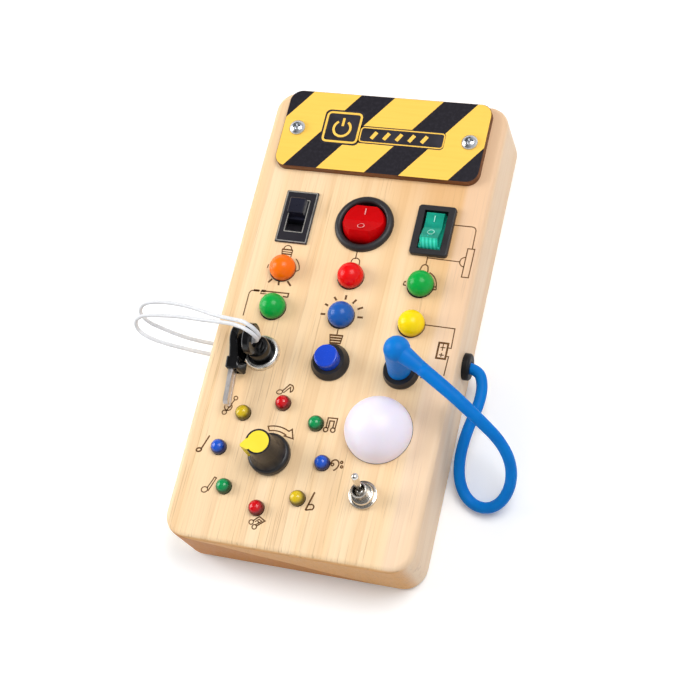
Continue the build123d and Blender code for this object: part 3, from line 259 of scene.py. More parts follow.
def moulded_material(name, colour, roughness=0.35, shade=None, grit=0.6, depth=0.00002, **extra):
    """Moulded plastic or rubber: one colour with faint flow marks and a fine spark-eroded grit,
    its grain and depth given in millimetres and metres."""
    made, tree, shader = material(name)
    flow = add(tree, "TexNoise", lumps(tree, (7.0, 7.0, 7.0)))
    flow_share = add(tree, "MapRange", (flow, 0.3, 0.7, 0.0, 0.5), **SMOOTH)
    fine = add(tree, "TexNoise", lumps(tree, (grit, grit, grit), 2.0, 0.6))
    low, high = roughness * 0.85, roughness * 1.15
    feed(tree, shader, {
        "Base Color": layered(tree, colour, (flow_share, shade or colour)), "IOR": 1.5,
        "Roughness": add(tree, "MapRange", (fine, 0.3, 0.7, low, high), **SMOOTH),
        "Specular IOR Level": 0.4,
        "Normal": add(tree, "Bump", {"Height": fine, "Distance": depth, "Strength": 0.5})})
    feed(tree, shader, extra)
    return made


def metal_material(name, colour, roughness, wear="#6E6A66", brush=(0.25, 0.25, 6.0), share=0.25):
    """Plated or drawn metal: fine brush marks along one axis and slightly darker worn spots."""
    made, tree, shader = material(name)
    lines = add(tree, "TexNoise", lumps(tree, brush, 2.0, 0.6))
    spots = add(tree, "TexNoise", lumps(tree, (3.0, 3.0, 3.0), 2.0, 0.6))
    worn = add(tree, "MapRange", (spots, 0.5, 0.8, 0.0, share), **SMOOTH)
    low, high = roughness * 0.7, roughness * 1.3
    feed(tree, shader, {
        "Base Color": layered(tree, colour, (worn, wear)), "Metallic": 1.0,
        "Roughness": add(tree, "MapRange", (lines, 0.3, 0.7, low, high), **SMOOTH),
        "Normal": add(tree, "Bump", {"Height": lines, "Distance": 0.00001, "Strength": 0.4})})
    return made


def lens_material(name, colour, deep, roughness=0.25, subsurface=0.15, rim=0.0, gloss=0.28,
                  glow=0.06):
    """Cast epoxy lens: tinted through and glossy. Painted shade makes it deeper in colour towards its
    foot and dark in its collar, partly the flange's own deeper tint. A rim share above nought also
    paints shade on its steep sides, and a glow above nought adds a faint painted glow in the lens's
    own colour."""
    made, tree, shader = material(name)
    dark = layered(tree, deep, (0.65, "#101010"))
    height = add(tree, "SeparateXYZ", [millimetres(tree)], out="Z")
    uneven = add(tree, "TexNoise", lumps(tree, (2.5, 2.5, 2.5), 1.0))
    lift = add(tree, "Math", (uneven, 0.8, height), operation="MULTIPLY_ADD")
    # Painted shade at the foot: near black in the collar, then the deeper colour for a few millimetres
    # above the wood
    above_collar = add(tree, "MapRange", (height, FACE + 0.9, FACE + 1.5), **SMOOTH)
    above_foot = add(tree, "MapRange", (lift, FACE + 1.0, FACE + 3.6), **SMOOTH)
    base = layered(tree, dark, (above_collar, deep))
    base = layered(tree, base, (above_foot, colour))
    if rim:
        # Painted shade: steeper sides are darkened towards the deeper colour
        up = add(tree, "SeparateXYZ", [add(tree, "TexCoord", out="Normal")], out="Z")
        steep = add(tree, "MapRange", (up, 0.4, 0.88, rim, 0.0), **SMOOTH)
        base = layered(tree, base, (steep, layered(tree, deep, (0.5, "#101010"))))
    # Emission in the lens's own colour: a faint painted glow
    feed(tree, shader, {
        "Base Color": base, "Roughness": roughness, "IOR": 1.5, "Specular IOR Level": gloss,
        "Emission Color": base, "Emission Strength": glow, "Subsurface Weight": subsurface,
        "Subsurface Radius": (0.6, 0.6, 0.6), "Subsurface Scale": 0.0015})
    return made


# ---------------------------------------------------------------- geometry helpers
def mesh_object(name, points, faces, made, smooth=False):
    """An object from points in millimetres and faces; a face whose last corner repeats is a
    triangle."""
    faces = np.asarray(faces)
    triangle = faces[:, 2] == faces[:, 3]
    mesh = bpy.data.meshes.new(name)
    mesh.from_pydata((np.asarray(points, float) * MM).tolist(), [],
                     faces[~triangle].tolist() + faces[triangle, :3].tolist())
    mesh.validate()
    mesh.materials.append(made)
    if smooth:
        mesh.polygons.foreach_set("use_smooth", np.ones(len(mesh.polygons), bool))
    piece = bpy.data.objects.new(name, mesh)
    bpy.context.scene.collection.objects.link(piece)
    return piece


def new_piece(name, shape, made, body, smooth=False):
    """A mesh piece of a (points, faces) shape, riding on a body."""
    piece = mesh_object(name, *shape, made, smooth)
    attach(piece, body)
    return piece


def turned_piece(name, profile, place, count, made, body, crease=None):
    """A lathed piece on a plane place. With a crease angle in degrees it is shaded smooth, and
    edges sharper than the angle stay crisp."""
    piece = tidy_mesh(new_piece(name, turned(profile, place, count), made, body,
                                smooth=crease is not None))
    if crease:
        piece.data.set_sharp_from_angle(angle=math.radians(crease))
    return piece


def middle(node):
    """The plane middle of a CAD node's box, in millimetres."""
    low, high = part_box(node)
    return (low.x + high.x) / 2 / MM, (low.y + high.y) / 2 / MM


def joined(parts):
    """Several (points, faces) as one: each part's corner numbers go up by the number of points
    before it, and a triangle repeats its last corner."""
    before = np.cumsum([0] + [len(points) for points, _ in parts])
    faces = [np.asarray(faces)[:, [0, 1, 2, -1]] + count for (_, faces), count in zip(parts, before)]
    return np.concatenate([np.asarray(points, float) for points, _ in parts]), np.concatenate(faces)


def grid_faces(rows, columns, closed_rows=False, closed_columns=False):
    """Quads of a grid of points numbered row by row."""
    r = np.arange(rows if closed_rows else rows - 1)
    c = np.arange(columns if closed_columns else columns - 1)
    r, c = (a.ravel() for a in np.meshgrid(r, c, indexing="ij"))
    r2, c2 = (r + 1) % rows, (c + 1) % columns
    return np.stack([r * columns + c, r2 * columns + c, r2 * columns + c2, r * columns + c2], 1)


def band(path, width, low, high, closed=False):
    """A flat strip along a plane path: at each point the edge is half a width to each side along
    the mitre, the sum of the two neighbouring side directions over one plus their product."""
    path = np.asarray(path, float)
    path = path[np.append(np.linalg.norm(np.diff(path, axis=0), axis=1) > 1e-6, True)]
    ahead = (np.roll(path, -1, 0) - path) if closed else np.diff(path, axis=0)
    ahead /= np.linalg.norm(ahead, axis=1)[:, None]
    side = np.stack([-ahead[:, 1], ahead[:, 0]], 1)
    before = np.roll(side, 1, 0) if closed else np.concatenate([side[:1], side])
    after = side if closed else np.concatenate([side, side[-1:]])
    mitre = (before + after) / np.maximum(1 + (before * after).sum(1), 0.35)[:, None]
    left, right = path + mitre * width / 2, path - mitre * width / 2
    low = np.broadcast_to(low, len(path))[:, None]
    high = np.broadcast_to(high, len(path))[:, None]
    rings = np.stack([np.hstack([right, high]), np.hstack([left, high]),
                      np.hstack([left, low]), np.hstack([right, low])], 1)
    n = len(path)
    faces = grid_faces(n, 4, closed_rows=closed, closed_columns=True)
    if not closed:
        faces = np.concatenate([faces, [[0, 1, 2, 3]], [[4 * n - 1, 4 * n - 2, 4 * n - 3, 4 * n - 4]]])
    return rings.reshape(-1, 3), faces


def arc(centre, radius, start, end, count=16, squash=1.0, lean=0.0):
    """Points on a circle or ellipse between two angles in degrees, turned by a lean."""
    a = np.radians(np.linspace(start, end, count))
    x, y = radius * np.cos(a), radius * squash * np.sin(a)
    t = math.radians(lean)
    return np.stack([centre[0] + x * math.cos(t) - y * math.sin(t),
                     centre[1] + x * math.sin(t) + y * math.cos(t)], 1)


def hoop(centre, radius, squash=1.0, lean=0.0, count=24):
    """A closed ellipse of points."""
    return arc(centre, radius, 0, 360 - 360 / count, count, squash, lean)


def filled(outline, low, high):
    """A plate with a straight edge on a closed outline that its middle sees whole: a fan on top."""
    outline = np.asarray(outline, float)
    n = len(outline)
    ahead = np.roll(outline, -1, 0)
    if (outline[:, 0] * ahead[:, 1] - ahead[:, 0] * outline[:, 1]).sum() < 0:
        outline = outline[::-1]
    top = np.hstack([outline, np.full((n, 1), high)])
    foot = np.hstack([outline, np.full((n, 1), low)])
    middle = outline.mean(0)
    points = np.concatenate([top, foot, [[*middle, high], [*middle, low]]])
    i = np.arange(n)
    j = (i + 1) % n
    walls = np.stack([i, i + n, j + n, j], 1)
    cap = np.stack([i, j, np.full(n, 2 * n), np.full(n, 2 * n)], 1)
    base = np.stack([j + n, i + n, np.full(n, 2 * n + 1), np.full(n, 2 * n + 1)], 1)
    return points, np.concatenate([walls, cap, base])


def turned(profile, centre, count=64):
    """Surface of revolution about an upright axis: each profile point (radius, height) goes round
    a circle; a radius of nought is closed by merging."""
    profile = np.asarray(profile, float)
    a = np.arange(count) * TAU / count
    r, z = profile[:, 0][:, None], profile[:, 1][:, None]
    points = np.stack([centre[0] + r * np.cos(a), centre[1] + r * np.sin(a),
                       np.broadcast_to(z, (len(profile), count))], 2).reshape(-1, 3)
    faces = grid_faces(len(profile), count, closed_columns=True)[:, ::-1]
    return points, faces


def node_mesh(name):
    """A CAD node's points in millimetres and its triangles."""
    mesh = NODES[name].data
    mesh.calc_loop_triangles()
    points = np.empty(len(mesh.vertices) * 3)
    mesh.vertices.foreach_get("co", points)
    corners = np.empty(len(mesh.loop_triangles) * 3, int)
    mesh.loop_triangles.foreach_get("vertices", corners)
    return points.reshape(-1, 3) / MM, corners.reshape(-1, 3)


def merged(points, triangles):
    """The same triangles, with points that agree to a ten-thousandth of a millimetre made one."""
    points, same = np.unique(np.round(points, 4), axis=0, return_inverse=True)
    return points, same.reshape(-1)[triangles]


def tidy_mesh(piece):
    """Merge doubled points at poles and make the faces point outwards."""
    work = bmesh.new()
    work.from_mesh(piece.data)
    bmesh.ops.remove_doubles(work, verts=work.verts, dist=1e-6)
    bmesh.ops.recalc_face_normals(work, faces=work.faces)
    work.to_mesh(piece.data)
    work.free()
    return piece


def nurbs_line(name, points, resolution=10):
    """Points read from one open NURBS spline with these control points, in their own units."""
    curve = bpy.data.curves.new(name, "CURVE")
    curve.dimensions = "3D"
    curve.resolution_u = resolution
    spline = curve.splines.new("NURBS")
    spline.points.add(len(points) - 1)
    spline.points.foreach_set("co", np.hstack([points, np.ones((len(points), 1))]).ravel())
    spline.order_u = 3
    spline.use_endpoint_u = True
    holder = bpy.data.objects.new(name, curve)
    mesh = bpy.data.meshes.new_from_object(holder)
    line = np.zeros(len(mesh.vertices) * 3)
    mesh.vertices.foreach_get("co", line)
    bpy.data.meshes.remove(mesh)
    bpy.data.objects.remove(holder)
    bpy.data.curves.remove(curve)
    return line.reshape(-1, 3)


def unit(vectors):
    """Each row divided by its length."""
    return vectors / np.linalg.norm(vectors, axis=-1, keepdims=True)


def carried_frames(line):
    """Two side directions at each point of a line, carried along it without twist. A first set is
    the line's direction crossed with the one direction that it stays furthest from. Each is then
    turned by the running sum of the angles at which the side before it, laid square to the line
    again, stands to the first set. The directions tried lie on a golden spiral over half a ball."""
    ahead = unit(np.gradient(line, axis=0))
    tries = 128
    k = (np.arange(tries) + 0.5) / tries
    around = k * tries * TAU * 0.618034
    tried = np.stack([np.sqrt(1 - k * k) * np.cos(around), np.sqrt(1 - k * k) * np.sin(around), k], 1)
    away = tried[np.abs(ahead @ tried.T).max(0).argmin()]
    side = unit(np.cross(ahead, away))
    up = np.cross(ahead, side)
    carried = side[:-1] - ahead[1:] * (side[:-1] * ahead[1:]).sum(1)[:, None]
    step = np.arctan2((carried * up[1:]).sum(1), (carried * side[1:]).sum(1))
    turn = np.append(0.0, np.cumsum(step))[:, None]
    side = np.cos(turn) * side + np.sin(turn) * up
    return side, np.cross(ahead, side)


def rings_along(line, radius, first, second, count):
    """Circles round a line's points: each point plus the radius times the cosine and the sine of
    the angle along its two side directions."""
    a = (np.arange(count) * TAU / count)[:, None]
    radius = np.broadcast_to(radius, len(line))[:, None, None]  # one for all or one for each
    ring = line[:, None] + radius * (np.cos(a) * first[:, None] + np.sin(a) * second[:, None])
    return ring.reshape(-1, 3)


def tube(line, radius, count=20):
    """A round tube along a line, with a fan at each end."""
    rings = rings_along(line, radius, *carried_frames(line), count)
    n = len(line)
    points = np.concatenate([rings, line[:1], line[-1:]])
    i = np.arange(count)
    j = (i + 1) % count
    last = (n - 1) * count
    start_pole, end_pole = np.full(count, n * count), np.full(count, n * count + 1)
    start = np.stack([i, j, start_pole, start_pole], 1)
    end = np.stack([last + j, last + i, end_pole, end_pole], 1)
    return points, np.concatenate([grid_faces(n, count, closed_columns=True), start, end])


def surface_heights(node, places):
    """Height of a CAD node's top at plane places, in millimetres: among the triangles whose three
    plane weights at the place are positive, the highest weighted sum of their corners' heights."""
    points, triangles = node_mesh(node)
    a, b, c = (points[triangles[:, k]] for k in range(3))
    area = (b[:, 0] - a[:, 0]) * (c[:, 1] - a[:, 1]) - (c[:, 0] - a[:, 0]) * (b[:, 1] - a[:, 1])
    upright = np.abs(area) < 1e-9
    a, b, c, area = a[~upright], b[~upright], c[~upright], area[~upright]
    x, y = (np.asarray(places, float)[:, k, None] for k in range(2))
    weight_b = ((x - a[:, 0]) * (c[:, 1] - a[:, 1]) - (c[:, 0] - a[:, 0]) * (y - a[:, 1])) / area
    weight_c = ((b[:, 0] - a[:, 0]) * (y - a[:, 1]) - (x - a[:, 0]) * (b[:, 1] - a[:, 1])) / area
    weight_a = 1 - weight_b - weight_c
    inside = np.minimum(np.minimum(weight_a, weight_b), weight_c) > -1e-6
    height = weight_a * a[:, 2] + weight_b * b[:, 2] + weight_c * c[:, 2]
    return np.where(inside, height, -np.inf).max(1)


def strips(strokes, low, high):
    """Strokes as flat strips between two heights: each is (points, width) or (points, width, True)
    where it is closed."""
    return joined([band(path, width, low, high, bool(closed))
                   for path, width, *closed in strokes])


def draped(name, strokes, node, made, body, lift=0.05, sunk=0.12):
    """Strokes laid on a CAD node: a strip's upper points go to the node's height at their place
    plus a lift, and its lower points that height less the sunk depth."""
    points, faces = strips(strokes, 0.0, 1.0)
    points[:, 2] = (surface_heights(node, points[:, :2])
                    + np.where(points[:, 2] > 0.5, lift, -sunk))
    return new_piece(name, (points, faces), made, body)


def rounded(centre, width, height, radius, count=6):
    """Closed outline of a rectangle with round corners."""
    x, y = width / 2 - radius, height / 2 - radius
    corners = [((x, y), 0), ((-x, y), 90), ((-x, -y), 180), ((x, -y), 270)]
    return np.concatenate([
        arc((centre[0] + cx, centre[1] + cy), radius, a, a + 90, count) for (cx, cy), a in corners])


# ---------------------------------------------------------------- sizes and colours to set
class BusyBoardColours(bpy.types.PropertyGroup):
    """Colours of the board's pieces."""
    pine: FloatVectorProperty(
        name="Pine", description="Pale long grain of the board", subtype="COLOR", size=3,
        min=0, max=1, default=srgb("#FBE1BC"))
    pine_end: FloatVectorProperty(
        name="Pine end grain", description="Darker end grain", subtype="COLOR", size=3,
        min=0, max=1, default=srgb("#C88030"))
    sign_yellow: FloatVectorProperty(
        name="Sign yellow", description="Printed yellow of the sign", subtype="COLOR", size=3,
        min=0, max=1, default=srgb("#FFCE5A"))
    sign_black: FloatVectorProperty(
        name="Sign black", description="Printed black of the sign", subtype="COLOR", size=3,
        min=0, max=1, default=srgb("#1D1A22"))
    cable: FloatVectorProperty(
        name="Cable blue", description="Sleeve of the plug lead", subtype="COLOR", size=3,
        min=0, max=1, default=srgb("#007CD4"))
    button: FloatVectorProperty(
        name="Button blue", description="Cap of the push button", subtype="COLOR", size=3,
        min=0, max=1, default=srgb("#1048D0"))
    knob: FloatVectorProperty(
        name="Knob yellow", description="Cap and pointer of the knob", subtype="COLOR", size=3,
        min=0, max=1, default=srgb("#FBE338"))


class BusyBoardSizes(bpy.types.PropertyGroup):
    """Sizes of the finer details."""
    engraving: FloatProperty(
        name="Engraving width", description="Width of the burnt lines", unit="LENGTH",
        min=0.0001, max=0.001, default=0.00042)
    relief: FloatProperty(
        name="Engraving height", description="How far the burnt lines stand in the render",
        unit="LENGTH", min=0.00001, max=0.0002, default=0.00003)
    lamp_strength: FloatProperty(
        name="Studio level", description="Factor on every studio lamp", min=0.1, max=4.0,
        default=1.0)


# ---------------------------------------------------------------- stage: camera, light and floor
# Camera: lens and film width in mm; place in metres, and its right, up and back directions
LENS, FILM = 79.842, 36.0
CAMERA_PLACE = (0.184828, -0.201307, 0.553152)
CAMERA_RIGHT = (0.94479, 0.22386, -0.23928)
CAMERA_UP = (-0.12437, 0.92059, 0.3702)
CAMERA_BACK = (0.30315, -0.32, 0.89761)
# Round soft boxes: place and target in metres, width in metres, power in watts
SOFT_BOXES = {
    "soft_box_left": ((-0.78, 0.0, 0.46), (0, 0, 0.02), 0.6, 4.9),
    "soft_box_top": ((0.40, 0.22, 0.95), (0, 0, 0.02), 0.65, 6.2)}
WORLD_LEVEL = 0.42
EYE_PAPER = (1.115, 1.13, 1.145)  # the floor as the eye sees it: just above white under the lamps
STAGE_HALF = 3.0
FLAG_HEIGHT = 1.3


def eye_rays(tree):
    """One for camera, glossy and transmission rays, nought for the rest."""
    path = add(tree, "LightPath").node.outputs
    seen = add(tree, "Math", (path["Is Camera Ray"], path["Is Glossy Ray"]), operation="ADD")
    seen = add(tree, "Math", (seen, path["Is Transmission Ray"]), operation="ADD")
    return add(tree, "Math", (seen, 1.0), operation="MINIMUM")


def placed(thing, right, up, back, place):
    """Stand a camera or a lamp at a place, with these directions as its own X, Y and Z."""
    turn = np.eye(4)
    turn[:3] = np.stack([right, up, back, place], 1)
    thing.matrix_world = Matrix(turn.tolist())
    bpy.context.scene.collection.objects.link(thing)


def area_lamp(name, place, target, width, power):
    """A round soft box: its back points from the target to its place, and its right is level."""
    data = bpy.data.lights.new(name, "AREA")
    data.shape = "DISK"
    data.size, data.energy = width, power
    back = unit(np.subtract(place, target))
    right = unit(np.cross((0, 0, 1), back))
    placed(bpy.data.objects.new(name, data), right, np.cross(back, right), back, place)


def sheet(name, height, made):
    """A large level sheet at a height, for the floor or the flag of the stage."""
    half = STAGE_HALF / MM
    corners = [(-half, -half), (half, -half), (half, half), (-half, half)]
    piece = mesh_object(name, [(x, y, height / MM) for x, y in corners], [(0, 1, 2, 3)], made)
    return piece


def paper_material(name):
    """Matt white paper with faint mottling. The eye gets it a little brighter than the light it
    passes on, and plain white far out, where the lamps don't reach."""
    made, tree, shader = material(name)
    seen = eye_rays(tree)
    fibre = add(tree, "TexNoise", lumps(tree, (40.0, 40.0, 40.0)))
    paper = add(tree, "ValToRGB", [fibre], stops=[(0.3, "#EAECEF"), (0.7, "#E5E7EB")])
    diffuse = add(tree, "BsdfDiffuse", {
        "Color": layered(tree, paper, (seen, EYE_PAPER)), "Roughness": 0.0})
    away = add(tree, "VectorMath", [millimetres(tree)], out="Value", operation="LENGTH")
    far = add(tree, "MapRange", (away, 350.0, 1100.0), **SMOOTH)
    far = add(tree, "Math", (far, seen), operation="MULTIPLY")
    white = add(tree, "Emission", {"Color": "#FFFFFF", "Strength": far})
    both = add(tree, "AddShader", (diffuse, white))
    feed(tree, tree.nodes["Material Output"], {"Surface": both})
    tree.nodes.remove(shader)
    return made


def flag_material(name):
    """Grey cloth, brighter to the right, which gives polished pieces a light and a dark side."""
    made, tree, shader = material(name)
    across = add(tree, "SeparateXYZ", [millimetres(tree)], out="X")
    level = add(tree, "MapRange", (across, -1500.0, 1400.0, 0.04, 0.6), **SMOOTH)
    glow = add(tree, "Emission", {"Color": "#FFFFFF", "Strength": level})
    feed(tree, tree.nodes["Material Output"], {"Surface": glow})
    tree.nodes.remove(shader)
    return made


class BUSY_OT_stage(bpy.types.Operator):
    """Set the camera, the soft studio lamps, the pale floor and the white surroundings."""
    bl_idname = "busy.stage"
    bl_label = "Stage"

    def execute(self, context):
        scene = context.scene
        level = scene.busy_board_sizes.lamp_strength
        data = bpy.data.cameras.new("camera")
        data.lens, data.sensor_width = LENS, FILM
        data.clip_start, data.clip_end = 0.01, 20.0
        scene.camera = bpy.data.objects.new("camera", data)
        placed(scene.camera, CAMERA_RIGHT, CAMERA_UP, CAMERA_BACK, CAMERA_PLACE)
        scene.view_settings.view_transform = "Standard"

        sheet("floor", 0.0, paper_material("white_paper_sweep"))
        # Only reflections see the flag over the stage
        flag = sheet("ceiling_flag", FLAG_HEIGHT, flag_material("grey_flag_cloth"))
        flag.visible_camera = flag.visible_diffuse = flag.visible_shadow = False
        flag.visible_transmission = flag.visible_volume_scatter = False

        # A white world to the eye and a dimmer one to the object
        scene.world = bpy.data.worlds.new("studio")
        scene.world.use_nodes = True
        tree = scene.world.node_tree
        dim = WORLD_LEVEL * level
        strength = add(tree, "Math", (eye_rays(tree), 1.0 - dim, dim), operation="MULTIPLY_ADD")
        feed(tree, tree.nodes["Background"], {"Color": "#FFFFFF", "Strength": strength})
        for name, (place, target, width, power) in SOFT_BOXES.items():
            area_lamp(name, place, target, width, power * level)
        return {"FINISHED"}


# ---------------------------------------------------------------- cords
# Control points of each cord, metres
LEAD_ROUTE = [
    (0.0416, -0.0241, 0.0467), (0.0530, -0.0307, 0.0444), (0.0585, -0.0340, 0.0411),
    (0.0640, -0.0373, 0.0378), (0.0712, -0.0414, 0.0298), (0.0750, -0.0464, 0.0211),
    (0.0750, -0.0524, 0.0134), (0.0718, -0.0577, 0.0074), (0.0666, -0.0603, 0.0039),
    (0.0608, -0.0596, 0.0025), (0.0561, -0.0562, 0.0036), (0.0535, -0.0504, 0.0069),
    (0.0533, -0.0430, 0.0106), (0.0547, -0.0336, 0.0131), (0.0570, -0.0244, 0.0135),
    (0.0571, -0.0158, 0.0135), (0.0538, -0.0095, 0.0135), (0.0455, -0.0095, 0.0135)]
TETHER_UPPER_ROUTE = [
    (-0.0435, -0.0140, 0.0135), (-0.0520, -0.0140, 0.0135), (-0.0642, -0.0141, 0.0168),
    (-0.0738, -0.0122, 0.0184), (-0.0813, -0.0104, 0.0194), (-0.0846, -0.0078, 0.0227),
    (-0.0820, -0.0053, 0.0262), (-0.0758, -0.0044, 0.0276), (-0.0669, -0.0047, 0.0290),
    (-0.0574, -0.0064, 0.0310), (-0.0484, -0.0092, 0.0338), (-0.0378, -0.0118, 0.0388),
    (-0.0316, -0.0142, 0.0450), (-0.0277, -0.0164, 0.0497), (-0.0229, -0.0186, 0.0487),
    (-0.0225, -0.0198, 0.0434), (-0.0268, -0.0199, 0.0416)]
TETHER_LOWER_ROUTE = [
    (-0.0435, -0.0186, 0.0135), (-0.0520, -0.0186, 0.0135), (-0.0628, -0.0184, 0.0160),
    (-0.0719, -0.0178, 0.0174), (-0.0793, -0.0166, 0.0182), (-0.0845, -0.0144, 0.0194),
    (-0.0850, -0.0118, 0.0232), (-0.0810, -0.0102, 0.0258), (-0.0734, -0.0098, 0.0270),
    (-0.0641, -0.0098, 0.0287), (-0.0546, -0.0108, 0.0309), (-0.0474, -0.0118, 0.0338),
    (-0.0374, -0.0136, 0.0390), (-0.0314, -0.0166, 0.0451), (-0.0279, -0.0186, 0.0500),
    (-0.0232, -0.0204, 0.0488), (-0.0230, -0.0210, 0.0434), (-0.0268, -0.0204, 0.0416)]
LEAD_RADIUS = 0.00215
TETHER_RADIUS = 0.0008
LEAD_SWELL = 0.2  # share by which the sleeve is thicker where it leaves the plug
LEAD_SWELL_LENGTH = 0.045
KNOT_CENTRE, KNOT_SIZE, KNOT_RADIUS = (-27.0, -19.9, 41.9), 0.58, 0.62  # mm


def cord_piece(name, route, radius, made, count):
    """A round cord as a mesh tube on the NURBS spline of its route. The radius is one number or a
    function of the line."""
    line = nurbs_line(name, np.array(route))
    points, faces = tube(line, radius(line) if callable(radius) else radius, count)
    piece = mesh_object(name, points / MM, faces, made, smooth=True)
    return piece, line


def lead_radii(line):
    """The sleeve's radius, more by a share that falls smoothly to nought over the swell's length."""
    along = np.append(0.0, np.cumsum(np.linalg.norm(np.diff(line, axis=0), axis=1)))
    share = np.clip(1 - along / LEAD_SWELL_LENGTH, 0, 1)
    return LEAD_RADIUS * (1 + LEAD_SWELL * share * share * (3 - 2 * share))


def trefoil(centre, size, radius, rows=72, count=10):
    """A tube on the trefoil knot: (-sin 3t, sin t + 2 sin 2t, cos t - 2 cos 2t) times the size."""
    t = np.arange(rows) * TAU / rows
    line = np.stack([-np.sin(3 * t), np.sin(t) + 2 * np.sin(2 * t), np.cos(t) - 2 * np.cos(2 * t)], 1)
    line = np.asarray(centre) + size * line
    ahead = unit(np.roll(line, -1, 0) - np.roll(line, 1, 0))
    side = unit(np.cross(ahead, (1.0, 0.0, 0.0)))
    up = np.cross(side, ahead)
    return rings_along(line, radius, side, up, count), grid_faces(rows, count, True, True)


class BUSY_OT_cords(bpy.types.Operator):
    """Lay the blue plug lead and the two white tether strands."""
    bl_idname = "busy.cords"
    bl_label = "Cords"

    def execute(self, context):
        colours = context.scene.busy_board_colours
        # Soft PVC sleeve: even blue, a low sheen, slightly drawn surface
        pvc = moulded_material("blue_pvc_sleeve", tuple(colours.cable), 0.45,
                               "#0070C8", grit=1.1, depth=0.00002,
                               **{"Specular IOR Level": 0.1, "Subsurface Weight": 0.3,
                                  "Subsurface Scale": 0.002})
        # Clear nylon line: milky white with a soft sheen, and faint draw marks along it
        nylon, tree, shader = material("milky_nylon_line")
        drawn = add(tree, "TexNoise", lumps(tree, (1.5, 1.5, 1.5)))
        feed(tree, shader, {
            "Base Color": add(tree, "ValToRGB", [drawn], stops=[(0.3, "#DADBDE"), (0.7, "#E5E6E9")]),
            "Roughness": 0.3, "IOR": 1.53, "Specular IOR Level": 0.3,
            "Normal": add(tree, "Bump", {"Height": drawn, "Distance": 0.00001, "Strength": 0.5})})
        lead, line = cord_piece("plug_lead_sleeve", LEAD_ROUTE, lead_radii, pvc, 24)
        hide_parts("plug_lead", "side_lead")
        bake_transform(lead)
        # Both strands go over the bow's rim and into a knot that fills its eye
        knot = new_piece("tether_knot", trefoil(KNOT_CENTRE, KNOT_SIZE, KNOT_RADIUS), nylon,
                         "lock_key", smooth=True)
        strands = (("tether_upper", TETHER_UPPER_ROUTE, ("tether_upper", "tether_loop")),
                   ("tether_lower", TETHER_LOWER_ROUTE, ("tether_lower",)))
        for name, route, stands_for in strands:
            strand, line = cord_piece(name + "_strand", route, TETHER_RADIUS, nylon, 14)
            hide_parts(*stands_for)
            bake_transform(strand)
        return {"FINISHED"}


# ---------------------------------------------------------------- pieces
class BUSY_OT_wood(bpy.types.Operator):
    """Finish the pine body and the plywood back."""
    bl_idname = "busy.wood"
    bl_label = "Wood"

    def execute(self, context):
        colours = context.scene.busy_board_colours
        # Planed pine: pale, warm and softly glossy, with fine streaks, and brown on its ends
        dress(pine_material("lacquered_pine", tuple(colours.pine), "#F6D3A4", "#DDAF7A",
                            tuple(colours.pine_end), "#EAAE68"), "wooden_body")
        # Sanded plywood: paler brown and quite matt
        dress(plywood_material("sanded_birch_plywood", "#EACB9C", "#D9B27E"), "back_cover")
        return {"FINISHED"}


# Stripes of the sign, mm: where the first starts, pitch, width, and sideways run per unit of rise
STRIPE_LEFT, STRIPE_PITCH, STRIPE_WIDTH, STRIPE_SLOPE = -38.1, 34.2, 14.1, 25.8 / 34.6
# Middles of the two badges, mm, and the heights of their ground and their marks over the sign
ICON, BARS = (-17.2, 78.4), (8.2, 76.0)
GROUND_RELIEF, MARK_RELIEF = 0.02, 0.035


class BUSY_OT_sign(bpy.types.Operator):
    """Print the striped sign with its badge, and finish its screws."""
    bl_idname = "busy.sign"
    bl_label = "Sign"

    def execute(self, context):
        colours = context.scene.busy_board_colours
        low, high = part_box("sign_plate")
        # Printed plywood: flat yellow and near black with a faint weave, brown where it is cut
        dress(sign_material("printed_birch_ply", tuple(colours.sign_yellow),
                            tuple(colours.sign_black), low.y / MM, STRIPE_LEFT, STRIPE_PITCH,
                            STRIPE_WIDTH, STRIPE_SLOPE), "sign_plate")
        # Zinc plate: bright bluish grey, a little dull
        dress(metal_material("zinc_plated_steel", "#C9CCD2", 0.26), "sign_screws")
        # Printing ink: the sign's two colours again, softly matt and slightly uneven
        ink = moulded_material("badge_black_ink", tuple(colours.sign_black), 0.45, "#3B3843")
        paint = moulded_material("badge_yellow_ink", tuple(colours.sign_yellow), 0.45, "#F6BC38")
        face = high.z / MM
        ground = face + GROUND_RELIEF
        plates = [filled(rounded(ICON, 16.6, 15.4, 2.2), face, ground),
                  filled(rounded((BARS[0] - 0.4, BARS[1]), 36.0, 7.8, 1.6), face, ground)]
        new_piece("badge_ground", joined(plates), ink, "board")
        x, y = ICON
        lines = [(rounded(ICON, 14.2, 13.0, 1.6), 0.9, True),
                 (arc((x, y - 0.5), 3.5, 125, 415, 28), 1.0),
                 ([(x, y + 0.6), (x, y + 4.2)], 1.0),
                 (rounded(BARS, 34.4, 6.4, 1.2), 0.5, True)]
        lines += [([(x, BARS[1] - 1.5), (x + 1.8, BARS[1] + 1.5)], 1.6)
                  for x in (-4.2, 1.0, 6.2, 11.4, 16.6)]
        new_piece("badge_marks", strips(lines, face, face + MARK_RELIEF), paint, "board")
        return {"FINISHED"}


RIB_PITCH = 1.5  # mm, of the moulded ribs in the teal rocker
WAVE_UNIT = TAU / 20  # scale at which a wave texture's bands are one unit apart


